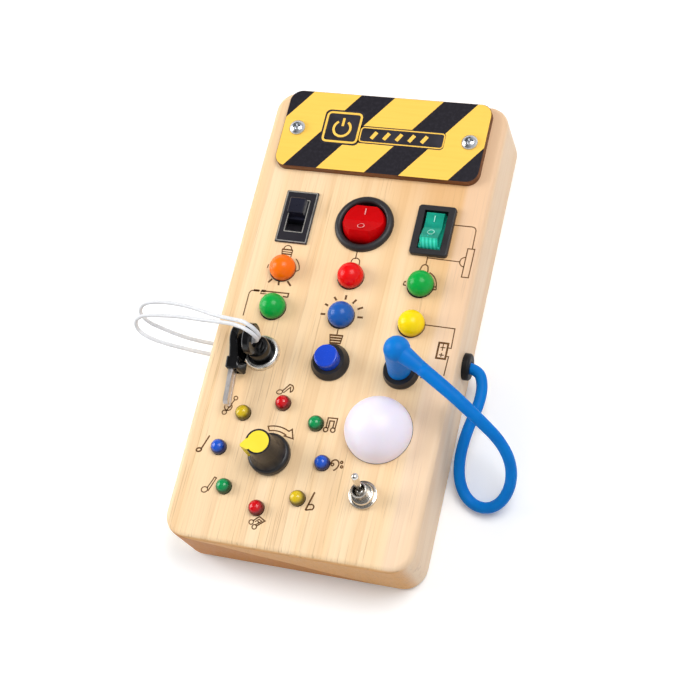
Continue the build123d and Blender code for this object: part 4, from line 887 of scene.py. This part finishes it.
class BUSY_OT_switches(bpy.types.Operator):
    """Finish the slide switch and the two rockers, with their marks."""
    bl_idname = "busy.switches"
    bl_label = "Switches"

    def execute(self, context):
        # Enamelled steel: glossy black that mirrors the lamps softly
        plate = moulded_material("black_enamelled_steel", "#26242A", 0.2, "#302E35",
                                 **{"Coat Weight": 0.5})
        dress(plate, "slide_switch_plate", "slide_switch_body")
        # Dyed nylon: black with a blue cast, half glossy
        dress(moulded_material("navy_black_nylon", "#1C1D2E", 0.32, "#161623"),
              "slide_switch_knob")
        # Spark-eroded nylon: dark grey with a fine dull grain
        nylon = moulded_material("spark_textured_black_nylon", "#2A282B", 0.42,
                                 "#222024", grit=0.5, depth=0.00004)
        dress(nylon, "round_rocker_housing", "rect_rocker_housing")
        # Tinted polycarbonate: deep red that light spreads in
        red = moulded_material("red_polycarbonate", "#CC0208", 0.32, "#B80004",
                               **{"Subsurface Weight": 0.2, "Subsurface Scale": 0.003,
                                  "Specular IOR Level": 0.07})
        # The same in teal, painted lighter on the end that faces down the board as if lit there, with
        # painted highlights on the crests of its upright ribs; the other faces are a darker teal
        teal, tree, shader = material("teal_polycarbonate")
        front = add(tree, "SeparateXYZ", [add(tree, "TexCoord", out="Normal")], out="Y")
        centre = (-middle("rect_rocker_button")[0] / RIB_PITCH, 0.0, 0.0)
        ribs = add(tree, "TexWave", {
            "Vector": millimetres(tree, (RIB_PITCH, 40.0, 40.0), centre), "Scale": WAVE_UNIT,
            "Distortion": 0.15, "Detail": 1.0}, out="Fac")
        rib_highlight_share = add(tree, "MapRange", (ribs, 0.2, 0.8), **SMOOTH)
        lit_end_share = add(tree, "MapRange", (front, -0.5, -0.75), **SMOOTH)
        depth = add(tree, "TexNoise", lumps(tree, (6.0, 3.0, 6.0), 1.0))
        depth = add(tree, "ValToRGB", [depth], stops=[(0.3, "#16A086"), (0.7, "#0F8C76")])
        lit = layered(tree, "#24D4B0", (rib_highlight_share, "#52F6DA"))
        feed(tree, shader, {
            "Base Color": layered(tree, depth, (lit_end_share, lit)), "Roughness": 0.22, "IOR": 1.58,
            "Specular IOR Level": 0.2, "Subsurface Weight": 0.2, "Subsurface Scale": 0.003,
            "Normal": add(tree, "Bump", {"Height": ribs, "Distance": 0.00003, "Strength": 0.4})})
        dress(red, "round_rocker_button")
        dress(teal, "rect_rocker_button")
        # Pad-printed marks on the two rockers: pale, matt and even
        for node, body, x, y, nearer, shade in (
                ("round_rocker_button", "round_rocker", 0.8, 38.4, 0.3, "#E9A9A6"),
                ("rect_rocker_button", "rect_rocker", 28.8, 38.4, 0.9, "#9FE3D2")):
            ink = moulded_material("pale_print_" + body, shade, 0.4)
            paths = ((np.stack([np.full(9, x), np.linspace(y + 3.1, y + 5.7, 9)], 1), 0.34),
                     (hoop((x, y - 2.6 + nearer), 1.3, 0.9, 0, 32), 0.34, True))
            draped(body + "_marks", paths, node, ink, body, 0.09)
        # Tinned brass: pale yellow metal
        dress(metal_material("tinned_brass", "#C8B98C", 0.3), "switch_terminals")
        # Bare steel where the enamel is scribed through: pale lines with a broad shine
        border = metal_material("scribed_bright_steel", "#D8D4CC", 0.4)
        x, y = middle("slide_switch_plate")
        lines = [(rounded((x, y), 12.3, 21.5, 0.3, 3), 0.42, True),
                 (rounded((x, y + 0.4), 7.6, 14.0, 0.2, 3), 0.36, True)]
        draped("slide_plate_border", lines, "slide_switch_plate", border, "board", 0.04)
        return {"FINISHED"}


# Lenses, mm: half of a CAD lamp's width, the lens's radius, and how far it stands above the lamp
LARGE_LENS = (5.5, 5.15, 0.9)
SMALL_LENS = (2.95, 3.0, 0.6)
# Colour of each lamp node's lenses, and the deeper colour painted as shade near the foot and on steep
# sides
LARGE_LAMPS = {
    "large_lamp_orange": ("#FF7200", "#C85400"), "large_lamp_red": ("#E80004", "#A00006"),
    "large_lamps_green": ("#00A640", "#006428"), "large_lamp_blue": ("#1C5CB0", "#0E3474"),
    "large_lamp_yellow": ("#FFDC00", "#C89A00")}
SMALL_LAMPS = {
    "small_lamps_blue": ("#1C55C8", "#06206A"), "small_lamps_green": ("#0A9450", "#035028"),
    "small_lamps_red": ("#D00A16", "#7E030E"), "small_lamps_yellow": ("#DCBC1C", "#6E5A04")}


def lens_places(node, half, falling=False):
    """Centres of a lamp node's lenses, half a lens in from its box's corners: one, or two on the
    box's rising or falling diagonal."""
    low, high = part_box(node)
    left, right = low.x / MM + half, high.x / MM - half
    bottom, top = low.y / MM + half, high.y / MM - half
    if falling:
        bottom, top = top, bottom
    return [(left, bottom), (right, top)] if right - left + abs(top - bottom) > 1 else [(left, top)]


def domed_lens(place, radius, top):
    """A round-topped lens: a foot in the wood, a short wall, then a half ball up to the top."""
    turn = np.linspace(0, 1, 17) * TAU / 4
    ball = np.stack([radius * np.cos(turn), top - radius + radius * np.sin(turn)], 1)
    foot = np.array([(radius - 0.15, FACE - 4.0), (radius - 0.15, FACE + 0.5), (radius, FACE + 0.7)])
    return turned(np.vstack([foot, ball]), place, 48)


class BUSY_OT_lamps(bpy.types.Operator):
    """Finish the six large lamps, the eight small lamps and the dome."""
    bl_idname = "busy.lamps"
    bl_label = "Lamps"

    def execute(self, context):
        for node, (colour, deep) in {**LARGE_LAMPS, **SMALL_LAMPS}.items():
            hue = node.split("_")[-1]
            if node in LARGE_LAMPS:
                # Diffused epoxy: strong colour all through under a soft shine, with painted shade at
                # its foot and a faint painted glow
                made = lens_material("diffused_epoxy_" + hue, colour, deep)
                half, radius, rise = LARGE_LENS
            else:
                # Clear tinted epoxy: sharper shine, with painted shade that makes it nearly black
                # towards its steep sides
                made = lens_material("clear_tinted_epoxy_" + hue, colour, deep, roughness=0.15,
                                     subsurface=0.0, rim=0.9, gloss=0.5, glow=0.04)
                half, radius, rise = SMALL_LENS
            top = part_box(node)[1].z / MM + rise
            cast = [domed_lens(place, radius, top)
                    for place in lens_places(node, half, node == "small_lamps_yellow")]
            piece = tidy_mesh(new_piece(node + "_cast", joined(cast), made, "board",
                                        smooth=True))
            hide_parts(node)
        # Black matt rings set a little off centre, so a dark crescent shows beside each lens: painted
        # shade at the lens's foot
        inner, outer, foot = 4.6, 5.24, FACE - 0.5
        profile = [(inner, foot), (outer, foot), (outer, FACE + 0.05), (outer - 0.08, FACE + 0.1),
                   (inner, FACE + 0.1), (inner, foot)]
        rims = [turned(profile, (x - 0.42, y - 0.1), 64)
                for node in LARGE_LAMPS for x, y in lens_places(node, LARGE_LENS[0])]
        crescent_shade = moulded_material("painted_shade_crescent", "#1E1613", 0.6, "#2A201B")
        tidy_mesh(new_piece("large_lamp_shade_crescents", joined(rims), crescent_shade, "board"))
        # Opal polycarbonate: milky, so light spreads under its skin, with a faint violet cast; its
        # emission is a painted glow that lifts it evenly
        opal, tree, shader = material("opal_polycarbonate")
        cloud = add(tree, "TexNoise", lumps(tree, (12.0, 12.0, 12.0), 1.0))
        feed(tree, shader, {
            "Base Color": add(tree, "ValToRGB", [cloud], stops=[(0.3, "#E4DFEB"), (0.7, "#DFDAE6")]),
            "Roughness": 0.42, "IOR": 1.58, "Subsurface Weight": 0.35, "Subsurface Scale": 0.004,
            "Emission Color": "#F5E8F6", "Emission Strength": 0.17,
            "Normal": add(tree, "Bump", {"Height": cloud, "Distance": 0.00002, "Strength": 0.3})})
        dress(opal, "dome_lens")
        low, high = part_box("dome_lens")
        radius = (high.x - low.x) / 2 / MM
        # A soft dark ring round the dome's foot: a painted contact shadow
        shadow_ring_material = moulded_material("painted_contact_shadow", "#4A403C", 0.7, "#5A4E48")
        profile = [(radius - 0.5, FACE), (radius + 0.1, FACE), (radius + 0.14, FACE + 0.08),
                   (radius + 0.1, FACE + 0.2), (radius - 0.5, FACE + 0.2)]
        turned_piece("dome_contact_shadow", profile, middle("dome_lens"), 96, shadow_ring_material, "board")
        # ABS: warm white, half matt
        dress(moulded_material("white_abs", "#EDEBE6", 0.4), "dome_base")
        # Tinned wire: pale grey metal with soft highlights
        dress(metal_material("tinned_lamp_leads", "#CFCFCB", 0.3), "lamp_leads")
        return {"FINISHED"}


COIL_TURNS, COIL_WIRE = 5.5, 0.25  # turns and wire radius in mm of the return spring


class BUSY_OT_controls(bpy.types.Operator):
    """Finish the push button, the jack with its plug, and the grommet."""
    bl_idname = "busy.controls"
    bl_label = "Push button and plug"

    def execute(self, context):
        colours = context.scene.busy_board_colours
        # Satin nylon: black with a fine grain and a broad shine
        black = moulded_material("satin_black_nylon", "#242326", 0.36, "#1C1B1E",
                                 grit=0.5, depth=0.00003)
        dress(black, "push_button_bezel", "jack_socket", "panel_nuts")
        # Rubber: deep matt black
        dress(moulded_material("black_rubber", "#0B0B0E", 0.5, "#141418", grit=0.8,
                               depth=0.00005, **{"Specular IOR Level": 0.25}), "cable_grommet")
        # Polished ABS: strong blue under a thin clear gloss
        dress(moulded_material("blue_abs", tuple(colours.button), 0.24, "#0C3CB8",
                               **{"Coat Weight": 0.3}), "push_button_cap")
        # Return spring of round grey wire: its height is eased so that the end turns lie flat
        low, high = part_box("push_button_spring")
        x, y = middle("push_button_spring")
        t = np.linspace(0, 1, 145)
        turn = COIL_TURNS * TAU * t
        radius = (high.x - low.x) / 2 / MM - COIL_WIRE
        rise = np.clip(1.22 * t - 0.11, 0, 1) * ((high.z - low.z) / MM - 2 * COIL_WIRE)
        line = np.stack([x + radius * np.cos(turn), y + radius * np.sin(turn),
                         low.z / MM + COIL_WIRE + rise], 1)
        spring = new_piece("push_button_coil", tube(line, COIL_WIRE, 10),
                           metal_material("spring_steel", "#B8BABD", 0.28), "board",
                           smooth=True)
        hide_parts("push_button_spring")
        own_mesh(spring)
        # Nickel plate: warm and bright, with fine brush marks
        dress(metal_material("nickel_plated_brass", "#D6D3CC", 0.2), "jack_plug_barrel")
        # Soft PVC: the lead's even blue, low sheen, with a slight moulded grain
        dress(moulded_material("blue_moulded_pvc", "#007CD4", 0.4, "#0072C8", grit=1.4,
                               depth=0.00004, **{"Specular IOR Level": 0.15,
                                                 "Subsurface Weight": 0.3,
                                                 "Subsurface Scale": 0.002}), "jack_plug_grip")
        return {"FINISHED"}


class BUSY_OT_key_lock(bpy.types.Operator):
    """Finish the key lock and its two keys."""
    bl_idname = "busy.key_lock"
    bl_label = "Key lock"

    def execute(self, context):
        # Satin chrome: bright, with soft bands of light and shade round the ring
        chrome = metal_material("satin_chrome", "#E6E4E0", 0.28, share=0.1)
        place = middle("key_lock_ring")
        profile = [(5.25, FACE), (5.25, 28.5), (5.4, 28.95), (5.9, 29.1), (6.5, 28.85), (6.95, 28.2),
                   (7.15, 27.5), (7.15, FACE), (5.25, FACE)]
        ring = turned_piece("key_lock_bezel", profile, place, 96, chrome, "board", 180)
        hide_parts("key_lock_ring")
        # Black nickel: dark mirror
        dress(metal_material("black_nickel", "#3C3C40", 0.2, share=0.2), "key_lock_barrel",
              "key_lock_cylinder")
        # Glossy ABS: deep black with crisp highlights
        black = moulded_material("glossy_black_abs", "#0B0B0D", 0.2, "#121214", grit=0.9,
                                 depth=0.00003)
        dress(black, "lock_key_bow")
        # Stepped boss under the key: raised rims that catch the light in arcs
        profile = [(4.5, 28.7), (4.5, 33.6), (4.3, 34.2), (3.9, 34.3), (3.8, 33.7), (3.3, 33.7),
                   (3.2, 34.6), (2.9, 34.8), (2.6, 34.6), (2.5, 34.0), (2.0, 34.0), (1.9, 34.9),
                   (0.0, 35.0)]
        turned_piece("lock_key_boss", profile, place, 64, black, "lock_key", 35)
        # The spare key's bow: each point moves out by a share of its depth that falls with the
        # square of its height, so the bow is thicker towards its shoulder; a thin web fills its eye
        points, faces = merged(*node_mesh("spare_key_bow"))
        rise = (points[:, 2] - points[:, 2].min()) / np.ptp(points[:, 2])
        points[:, 0] += 0.4 * (points[:, 0] - points[:, 0].min()) * (1 - rise ** 2)
        eye = (points[:, 1].max() - 6.0, points[:, 2].max() - 6.0)
        upper = points[points[:, 2] > eye[1], 0]
        near, far = upper.min() + 0.7, upper.max() - 0.7
        disc, web = turned([(0.0, near), (3.3, near), (3.3, far), (0.0, far)], (0.0, 0.0), 32)
        disc = np.stack([disc[:, 2], disc[:, 0] + eye[0], disc[:, 1] + eye[1]], 1)
        bow = tidy_mesh(new_piece("spare_key_bow_moulded", joined([(points, faces), (disc, web)]),
                                  black, "board", smooth=True))
        bow.data.set_sharp_from_angle(angle=math.radians(35))
        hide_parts("spare_key_bow")
        # Nickel silver: greyish white, dulled by brushing across the blade
        dress(metal_material("brushed_nickel_silver", "#D6D0CE", 0.42, brush=(0.3, 5.0, 0.3)),
              "lock_key_blade", "spare_key_blade")
        return {"FINISHED"}


class BUSY_OT_knob(bpy.types.Operator):
    """Finish the knob and its potentiometer."""
    bl_idname = "busy.knob"
    bl_label = "Knob"

    def execute(self, context):
        colours = context.scene.busy_board_colours
        # Satin ABS: soft black with a broad shine
        dress(moulded_material("satin_black_abs", "#1D1C1E", 0.33, "#26242A", grit=0.7,
                               depth=0.00003), "knob_body")
        # Matt ABS: flat warm yellow
        dress(moulded_material("yellow_abs", tuple(colours.knob), 0.4, "#F4D828"), "knob_cap")
        # Nickel plate: neutral grey with fine brush marks
        steel = metal_material("nickel_plated_steel", "#C4C4C2", 0.24)
        dress(steel, "potentiometer_shaft", "potentiometer_nut", "potentiometer_body")
        return {"FINISHED"}


class BUSY_OT_toggle(bpy.types.Operator):
    """Finish the toggle switch."""
    bl_idname = "busy.toggle"
    bl_label = "Toggle switch"

    def execute(self, context):
        # Polished nickel: warm mirror with a light and a dark side
        nickel = metal_material("polished_nickel", "#DAD6D0", 0.2, share=0.15)
        dress(nickel, "toggle_switch_lever")
        # Dished washer, then a round dress nut with a stepped, bevelled top
        profile = [(3.05, FACE), (5.3, FACE), (5.4, 27.9), (5.3, 28.25), (5.1, 28.3), (4.45, 27.8),
                   (4.3, 28.0), (4.3, 29.2), (4.0, 29.7), (3.75, 29.75), (3.6, 29.4), (3.45, 29.4),
                   (3.3, 29.95), (3.05, 30.0), (3.05, FACE)]
        nut = turned_piece("toggle_dress_nut", profile, middle("toggle_switch_washer"), 96, nickel,
                           "board", 32)
        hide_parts("toggle_switch_washer", "toggle_switch_nut")
        # Nickel on the bushing: greyer and duller than the lever's
        dress(metal_material("nickel_bushing", "#C8C2BA", 0.24), "toggle_switch_body")
        return {"FINISHED"}


class BUSY_OT_inside(bpy.types.Operator):
    """Finish the circuit boards, the battery box and the back's screws."""
    bl_idname = "busy.inside"
    bl_label = "Inside and back"

    def execute(self, context):
        # Solder resist: glossy dark green
        dress(moulded_material("green_solder_resist", "#1C6B3C", 0.3, "#185C34"),
              "lamp_circuit_board", "music_circuit_board")
        # Case ABS: dark grey with an eroded grain
        dress(moulded_material("black_abs_case", "#1F1F21", 0.42, "#28282B", grit=0.6,
                               depth=0.00005), "battery_box", "battery_door")
        # Shrunk sleeve: smooth dull green
        dress(moulded_material("printed_cell_sleeve", "#3A6E4A", 0.3, "#2F5F40"),
              "battery_cells")
        # Nickel plate: plain bright metal
        dress(metal_material("nickel_contacts", "#C6C4BE", 0.25), "battery_contacts")
        # Black oxide: dark steel with a soft shine
        dress(metal_material("black_oxide_steel", "#4A494B", 0.35), "back_screws")
        return {"FINISHED"}


class BUSY_OT_engraving(bpy.types.Operator):
    """Burn the bulbs, circuits and notes into the play face."""
    bl_idname = "busy.engraving"
    bl_label = "Engraving"

    def execute(self, context):
        sizes = context.scene.busy_board_sizes
        wide = sizes.engraving / MM
        # Burnt wood: brown where the beam is light, nearly black in its middle, quite matt
        made, tree, shader = material("laser_charred_pine")
        soot = add(tree, "TexNoise", lumps(tree, (0.8, 3.0, 0.8), 2.0, 0.6))
        feed(tree, shader, {
            "Base Color": add(tree, "ValToRGB", [soot], stops=[(0.3, "#4C3018"), (0.7, "#7A5430")]),
            "Roughness": 0.8, "Specular IOR Level": 0.2,
            "Normal": add(tree, "Bump", {"Height": soot, "Distance": 0.00004, "Strength": 0.5})})
        for name, strokes in (("engraved_bulbs", bulb_strokes),
                              ("engraved_circuits", circuit_strokes),
                              ("engraved_notes", note_strokes), ("engraved_arrow", arrow_strokes)):
            burnt = strips(strokes(wide), FACE, FACE + sizes.relief / MM)
            new_piece(name, burnt, made, "board")
        return {"FINISHED"}


def bulb_strokes(w):
    """Bulbs drawn round four of the large lamps: neck, cap, sides and rays."""
    strokes = []
    # Orange lamp, at (-27.2, 15.8)
    strokes += [([(-30.0, 24.3), (-25.6, 24.3)], w * 1.6), ([(-29.8, 23.3), (-25.6, 23.3)], w),
                ([(-29.6, 22.4), (-25.8, 22.4)], w * 1.4), ([(-30.0, 24.3), (-29.5, 21.4)], w),
                ([(-25.6, 24.3), (-25.7, 21.0)], w), (arc((-27.8, 24.5), 1.6, 0, 180, 12), w)]
    strokes += [(arc((-27.5, 15.6), 6.6, 6, 52, 14), w), (arc((-27.5, 15.6), 6.6, 166, 180, 5), w),
                ([(-21.0, 16.3), (-22.0, 15.6)], w)]
    strokes += [([(-30.9, 11.3), (-32.2, 9.6)], 0.75), ([(-27.9, 10.6), (-27.7, 8.9)], 0.75),
                ([(-24.5, 11.1), (-22.7, 9.2)], 0.75)]
    # Red lamp, at (0.8, 15.8)
    strokes += [([(0.5, 26.9), (0.5, 23.6)], w), (arc((0.8, 22.3), 1.7, 0, 180, 12), w),
                ([(-0.9, 22.3), (-1.3, 20.6)], w), ([(2.5, 22.3), (2.5, 20.4)], w)]
    # Green lamp, at (28.8, 15.8)
    strokes += [([(28.7, 27.8), (28.7, 24.6)], w), (arc((28.5, 23.1), 1.35, 0, 180, 12), w * 1.2),
                ([(27.15, 23.1), (26.5, 21.0)], w * 1.2), ([(29.85, 23.1), (30.2, 20.8)], w * 1.2),
                (arc((28.2, 15.6), 6.4, 2, 66, 14), w * 1.2), ([(34.6, 15.8), (33.4, 15.8)], w * 1.4),
                ([(34.9, 14.8), (33.4, 14.6)], w * 1.4), ([(34.6, 15.9), (34.9, 14.8)], w),
                ([(21.9, 16.6), (22.6, 16.6)], w * 1.3), ([(21.7, 15.2), (22.8, 15.1)], w * 1.3),
                ([(21.9, 16.6), (21.7, 15.2)], w)]
    # Blue lamp, at (0.8, -0.6), with its socket below
    for near, far in (((-2.9, 5.6), (-4.1, 6.9)), ((0.5, 6.3), (0.5, 8.2)), ((3.7, 5.1), (4.9, 6.9)),
                      ((6.2, 3.0), (8.2, 4.0)), ((6.9, -0.2), (9.1, -0.1)),
                      ((-5.7, 3.0), (-7.1, 3.6)), ((-6.0, -0.6), (-7.9, -0.7))):
        strokes.append(([near, far], 0.8))
    strokes += [([(0.5, -6.0), (0.6, -8.2)], w)]
    strokes += [([(-2.2 + 0.22 * k, -8.7 - 1.05 * k), (3.0 - 0.1 * k, -8.5 - 1.05 * k)], 0.72)
                for k in range(4)]
    strokes += [([(-2.2, -8.4), (-1.3, -12.2)], w), ([(3.0, -8.3), (2.7, -12.0)], w)]
    return strokes


def circuit_strokes(w):
    """Wires, a buzzer, a resistor and a fuse between the switches and the lamps."""
    return [
        (np.concatenate([[(36.4, 42.2)], arc((43.4, 40.5), 1.7, 90, 0, 8), [(45.2, 33.2)]]), w),
        ([(43.5, 33.0), (46.2, 33.0), (46.1, 21.1), (43.4, 21.1)], w, True),
        ([(28.7, 27.4), (41.5, 27.2)], w),
        (arc((43.5, 27.3), 2.0, 90, 270, 12), w),
        (np.concatenate([[(-38.8, -5.4)], arc((-37.1, 3.9), 1.7, 180, 90, 8), [(-34.6, 5.7)]]), w),
        ([(-37.2, 5.65), (-34.9, 5.7)], w * 2.2), ([(-34.0, 5.8), (-32.2, 5.8)], w * 2.4),
        ([(-34.0, 5.8), (-22.7, 6.0), (-22.7, 4.4)], w * 1.3), ([(-24.8, 4.5), (-22.7, 4.4)], w * 1.3),
        ([(-34.0, 5.8), (-34.0, 4.6), (-31.6, 4.7)], w),
        ([(33.8, 0.1), (45.3, 0.0), (45.5, -7.9), (44.2, -7.9)], w),
        ([(40.6, -6.2), (44.1, -6.2), (44.1, -12.4), (40.6, -12.4)], w * 1.8, True),
        ([(41.4, -8.0), (43.3, -8.0)], w), ([(42.3, -6.4), (42.3, -9.3)], w),
        ([(41.4, -11.0), (43.3, -11.0)], w), ([(42.3, -10.2), (42.3, -11.8)], w),
        ([(44.2, -11.3), (45.2, -11.3), (45.0, -19.0)], w),
        ([(36.6, -18.2), (38.8, -18.0), (38.8, -20.6), (36.6, -20.8)], w * 1.3, True),
    ]


def note_strokes(w):
    """Musical signs beside the eight small lamps."""
    strokes = []
    # Clef beside the olive lamp at the upper left
    strokes += [(hoop((-32.8, -39.0), 0.75), w, True), (hoop((-34.9, -42.8), 1.5), w, True),
                (hoop((-35.9, -45.2), 0.85), w, True), ([(-33.1, -39.8), (-35.2, -44.4)], w),
                (hoop((-34.6, -42.4), 0.6), w, True)]
    # Quaver above the red lamp
    strokes += [(hoop((-16.2, -34.1), 1.15, 0.75, 20), w, True),
                (np.concatenate([[(-15.2, -33.6), (-12.9, -30.6)],
                                 arc((-12.7, -32.2), 1.6, 60, -60, 8)]), w * 1.2),
                ([(-14.6, -34.2), (-12.3, -31.6), (-12.0, -33.8)], w)]
    # Beamed pair beside the green lamp
    strokes += [([(5.2, -45.4), (5.2, -41.4), (8.8, -41.2), (8.7, -45.3)], w * 1.2),
                ([(6.1, -45.4), (6.1, -42.5), (7.8, -42.4), (7.8, -45.2)], w * 1.2),
                (hoop((5.2, -46.1), 0.85), w * 1.2, True), (hoop((8.0, -45.9), 0.85), w * 1.2, True)]
    # Bass clef beside the blue lamp
    strokes += [(np.concatenate([arc((11.9, -58.5), 1.5, 190, 0, 14),
                                 arc((10.4, -58.5), 3.0, 0, -62, 8)]), w * 1.3),
                (hoop((11.0, -58.9), 0.5), w * 1.1, True),
                (hoop((14.3, -57.6), 0.42), w * 1.2, True), (hoop((14.7, -59.3), 0.42), w * 1.2, True)]
    # Flat sign beside the olive lamp at the lower right
    strokes += [([(6.9, -70.3), (5.0, -77.5)], w * 1.6),
                (np.concatenate([[(5.6, -75.3)], arc((6.9, -76.0), 1.0, 120, -100, 10),
                                 [(5.0, -77.5)]]), w * 1.3)]
    # Beamed quavers below the red lamp
    strokes += [(hoop((-14.3, -85.2), 0.85), w, True), (hoop((-12.7, -86.8), 0.85), w, True),
                ([(-13.7, -84.6), (-11.7, -82.7), (-9.2, -84.0), (-12.0, -86.4)], w * 1.2),
                ([(-12.9, -84.9), (-11.6, -83.7), (-10.4, -84.3), (-12.5, -86.0)], w),
                ([(-11.9, -84.4), (-11.2, -85.2)], w * 1.2)]
    # Two single notes on the left
    strokes += [(hoop((-42.0, -61.2), 1.0, 0.7, 20), w * 1.5, True),
                ([(-41.2, -60.8), (-39.2, -55.1)], w * 1.4)]
    strokes += [(hoop((-35.6, -76.0), 1.25, 0.85, 20), w, True),
                ([(-34.7, -75.2), (-32.9, -70.7), (-32.1, -70.9), (-34.1, -76.4)], w)]
    return strokes


def arrow_strokes(w):
    """Outlined curved arrow over the knob."""
    outer = arc((-13.8, -58.6), 11.0, 108, 62, 14)
    inner = arc((-13.8, -58.6), 9.2, 62, 106, 14)
    head = [(-10.0, -50.9), (-6.4, -51.5), (-7.6, -47.9)]
    outline = np.concatenate([outer, [head[2], head[1], head[0]], inner])
    return [(outline, w * 1.2, True)]


class BUSY_PT_panel(bpy.types.Panel):
    """The busy board's pieces and settings."""
    bl_idname = "BUSY_PT_panel"
    bl_label = "Busy board"
    bl_space_type = "VIEW_3D"
    bl_region_type = "UI"
    bl_category = "Busy board"

    def draw(self, context):
        layout = self.layout
        for owner in (context.scene.busy_board_colours, context.scene.busy_board_sizes):
            for name in owner.__annotations__:
                layout.prop(owner, name)
        for operator in OPERATORS:
            layout.operator(operator.bl_idname)


OPERATORS = (
    BUSY_OT_stage, BUSY_OT_cords, BUSY_OT_wood, BUSY_OT_sign, BUSY_OT_switches, BUSY_OT_lamps,
    BUSY_OT_controls, BUSY_OT_key_lock, BUSY_OT_knob, BUSY_OT_toggle, BUSY_OT_inside,
    BUSY_OT_engraving)
CLASSES = (BusyBoardColours, BusyBoardSizes, *OPERATORS, BUSY_PT_panel)


def register():
    for each in CLASSES:
        bpy.utils.register_class(each)
    bpy.types.Scene.busy_board_colours = PointerProperty(type=BusyBoardColours)
    bpy.types.Scene.busy_board_sizes = PointerProperty(type=BusyBoardSizes)


def unregister():
    del bpy.types.Scene.busy_board_sizes
    del bpy.types.Scene.busy_board_colours
    for each in reversed(CLASSES):
        bpy.utils.unregister_class(each)


def main():
    """Make every piece in order."""
    register()
    for operator in OPERATORS:
        group, action = operator.bl_idname.split(".")
        getattr(getattr(bpy.ops, group), action)()


if __name__ == "__main__":
    main()
